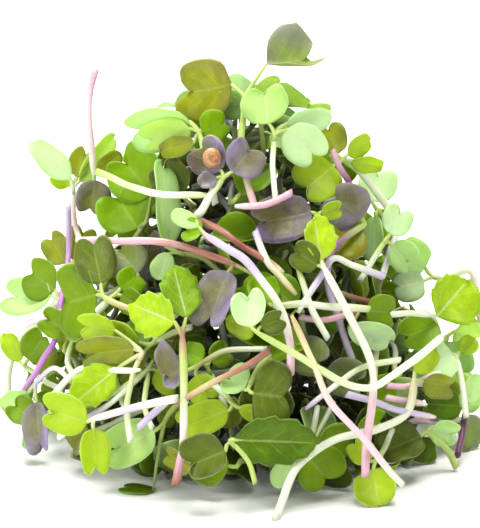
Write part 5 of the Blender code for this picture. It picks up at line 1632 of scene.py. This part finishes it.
def insideHeap(points, slack):
    # inside the dome, inside the outline seen from the front, and inside the part's own box
    for p in points:
        if math.hypot(p.x, p.y) > heapRadius(p.z) + slack or p.z < 0.6:
            return False
        up = p.z * lookCos + p.y * lookSin
        if up < frontEdge[0][0]:
            return False
        for (low, leftLow, rightLow), (high, leftHigh, rightHigh) in zip(frontEdge, frontEdge[1:]):
            if low <= up < high:
                share = (up - low) / (high - low)
                if not leftLow + (leftHigh - leftLow) * share < p.x < rightLow + (rightHigh - rightLow) * share:
                    return False
        spot = p + heapShift
        if any(spot[i] < boxLow[i] or spot[i] > boxHigh[i] for i in range(3)):
            return False
    return True


fillSkins = {}
rng = random.Random(fillLook["seed"])
made = 0
for attempt in range(fillLook["tries"]):
    seedling = fillSeedling(rng)
    if seedling is None or made >= fillLook["most"]:
        continue
    head, line, blades = seedling
    kept = []
    for blade in blades:
        spots = bladeSpots(blade)
        moved = [p + heapShift for p in spots]
        if insideHeap(spots, 1.5) and not hidesFront(moved) and room.clashes(moved, fillLook["reach"], 0) == 0:
            kept.append((blade, spots))
    stemSpots = [p + heapShift for p in pathSpots(line)]
    if not kept or hidesFront(stemSpots) or room.clashes(stemSpots[len(stemSpots) // 2:], 1.6, 3) > 3:
        continue
    if not insideHeap(pathSpots(line), 0.0):
        continue
    made += 1
    zone = "low" if head.z < 26.0 else "middle" if head.z < 62.0 else "high"
    quarter = int(math.atan2(head.y, head.x) / (0.5 * math.pi) + 2.0) % 4
    for k, (blade, spots) in enumerate(kept):
        tint = rng.choice(fillTints[zone])
        moved = (blade[0], blade[1] + heapShift, blade[2] + heapShift) + blade[3:]
        skin = fillSkins.setdefault((slotOf[finishOf[tint]], quarter), Skin())
        addLeaf(skin, moved, head + heapShift, stemWay(line), tint, 100.0 + made + 0.3 * k, finishOf[tint],
                [screenColour(stemTints["lime"])], 12, 4)
        room.fill([p + heapShift for p in spots])
    names = rng.choice(fillStalks)
    path = [p + heapShift for p in line]
    width = rng.uniform(*fillLook["width"])
    skin = fillSkins.setdefault(("stem_white", quarter), Skin())
    addStem(skin, smoothPath(path, 2.4), width, 0.85 * width, [screenColour(stemTints[c]) for c in names], 100.0 + made,
            stalkFinishOf(names), 8)
    room.fill(pathSpots(path))
sides = ("Left", "Front", "Right", "Back")
for (slotName, quarter), skin in fillSkins.items():
    kind, shade = slotName.split("_")
    newPiece("fill" + shade.capitalize() + kind.capitalize() + sides[quarter], skin)
print("filled with", made, "seedlings,", sum(len(s.faces) for s in fillSkins.values()), "faces")


# the seed's husk on the dark leaf
huskLook = {"place": (-7.7, 66.6), "size": (4.3, 3.6, 4.9), "back": -3.0, "rings": 24, "sides": 32, "crease": 0.08}
huskSkin = Skin()
huskShift = shiftTo("seed_hull", [place(*huskLook["place"], huskLook["back"])])
huskMiddle = place(*huskLook["place"], huskLook["back"]) + huskShift
huskVerts = []
for i in range(huskLook["rings"] + 1):
    tilt = math.pi * i / huskLook["rings"]
    for k in range(huskLook["sides"]):
        turn = 2.0 * math.pi * k / huskLook["sides"]
        reach = math.sin(tilt) * (1.0 - huskLook["crease"] * math.exp(-(math.sin(0.5 * turn) / 0.12) ** 2))
        spot = Vector((-math.cos(tilt), reach * math.cos(turn), reach * math.sin(turn)))
        spot *= 1.0 + 0.03 * noise.noise(spot * 3.0)
        huskVerts.append(huskMiddle + Vector([0.5 * s * c for s, c in zip(huskLook["size"], spot)]))
huskFaces = []
for i in range(huskLook["rings"]):
    for k in range(huskLook["sides"]):
        a = i * huskLook["sides"] + k
        b = i * huskLook["sides"] + (k + 1) % huskLook["sides"]
        huskFaces.append((a, b, b + huskLook["sides"], a + huskLook["sides"]))
huskSkin.add(huskVerts, huskFaces, [(0.0, 0.0, 0.0)] * len(huskVerts), [Vector((1, 1, 1))] * len(huskVerts), "seedHusk")
newPiece("seedHusk", huskSkin, ["seed_hull"])

# camera: the whole heap fills the width of the picture
cameraLook = {"across": -1.19, "up": 41.9, "distance": 2000.0, "frameWidth": 114.3, "sensor": 36.0}
target = Vector((cameraLook["across"], 0.0, cameraLook["up"] / lookCos)) + heapShift
lens = bpy.data.cameras.new("eye")
lens.sensor_fit = "HORIZONTAL"
lens.sensor_width = cameraLook["sensor"]
lens.lens = cameraLook["sensor"] * cameraLook["distance"] / cameraLook["frameWidth"]
lens.clip_end = 20.0
eye = bpy.data.objects.new("eye", lens)
bpy.context.scene.collection.objects.link(eye)
eye.location = (target + towardViewer * cameraLook["distance"]) * metre
eye.rotation_euler = (-towardViewer).to_track_quat("-Z", "Y").to_euler()
bpy.context.scene.camera = eye

# pale floor and soft studio light
studio = {
    "floorSize": 6.0, "floorColour": (0.86, 0.865, 0.87), "sky": (0.97, 0.98, 1.0), "skyPower": 0.50,
    "lamps": [
        {"name": "backLight", "at": (-0.35, 0.75, 1.1), "size": 0.7, "power": 27.0, "colour": (1.0, 1.0, 0.93)},
        {"name": "topLight", "at": (0.15, -0.25, 1.3), "size": 0.6, "power": 18.5, "colour": (1.0, 0.99, 0.92)},
        {"name": "sideLight", "at": (-0.9, -0.7, 0.5), "size": 0.6, "power": 9.0, "colour": (1.0, 1.0, 0.98)},
    ],
}
half = 0.5 * studio["floorSize"]
floorMesh = bpy.data.meshes.new("floor")
floorMesh.from_pydata([(-half, -half, 0.0), (half, -half, 0.0), (half, half, 0.0), (-half, half, 0.0)], [], [(0, 1, 2, 3)])
floorMat = bpy.data.materials.new("paleFloor")
floorMat.use_nodes = True
floorShader = floorMat.node_tree.nodes["Principled BSDF"]
floorShader.inputs["Base Color"].default_value = (*studio["floorColour"], 1.0)
floorShader.inputs["Roughness"].default_value = 0.6
floorMesh.materials.append(floorMat)
floor = bpy.data.objects.new("floor", floorMesh)
bpy.context.scene.collection.objects.link(floor)
for lampLook in studio["lamps"]:
    light = bpy.data.lights.new(lampLook["name"], "AREA")
    light.size = lampLook["size"]
    light.energy = lampLook["power"]
    light.color = lampLook["colour"]
    lamp = bpy.data.objects.new(lampLook["name"], light)
    bpy.context.scene.collection.objects.link(lamp)
    lamp.location = lampLook["at"]
    lamp.rotation_euler = (-Vector(lampLook["at"])).to_track_quat("-Z", "Y").to_euler()
world = bpy.data.worlds.new("studioSky")
bpy.context.scene.world = world
world.use_nodes = True
sky = world.node_tree.nodes["Background"]
sky.inputs["Color"].default_value = (*studio["sky"], 1.0)
sky.inputs["Strength"].default_value = studio["skyPower"]
bpy.context.scene.view_settings.view_transform = "Standard"
print("studio lit")
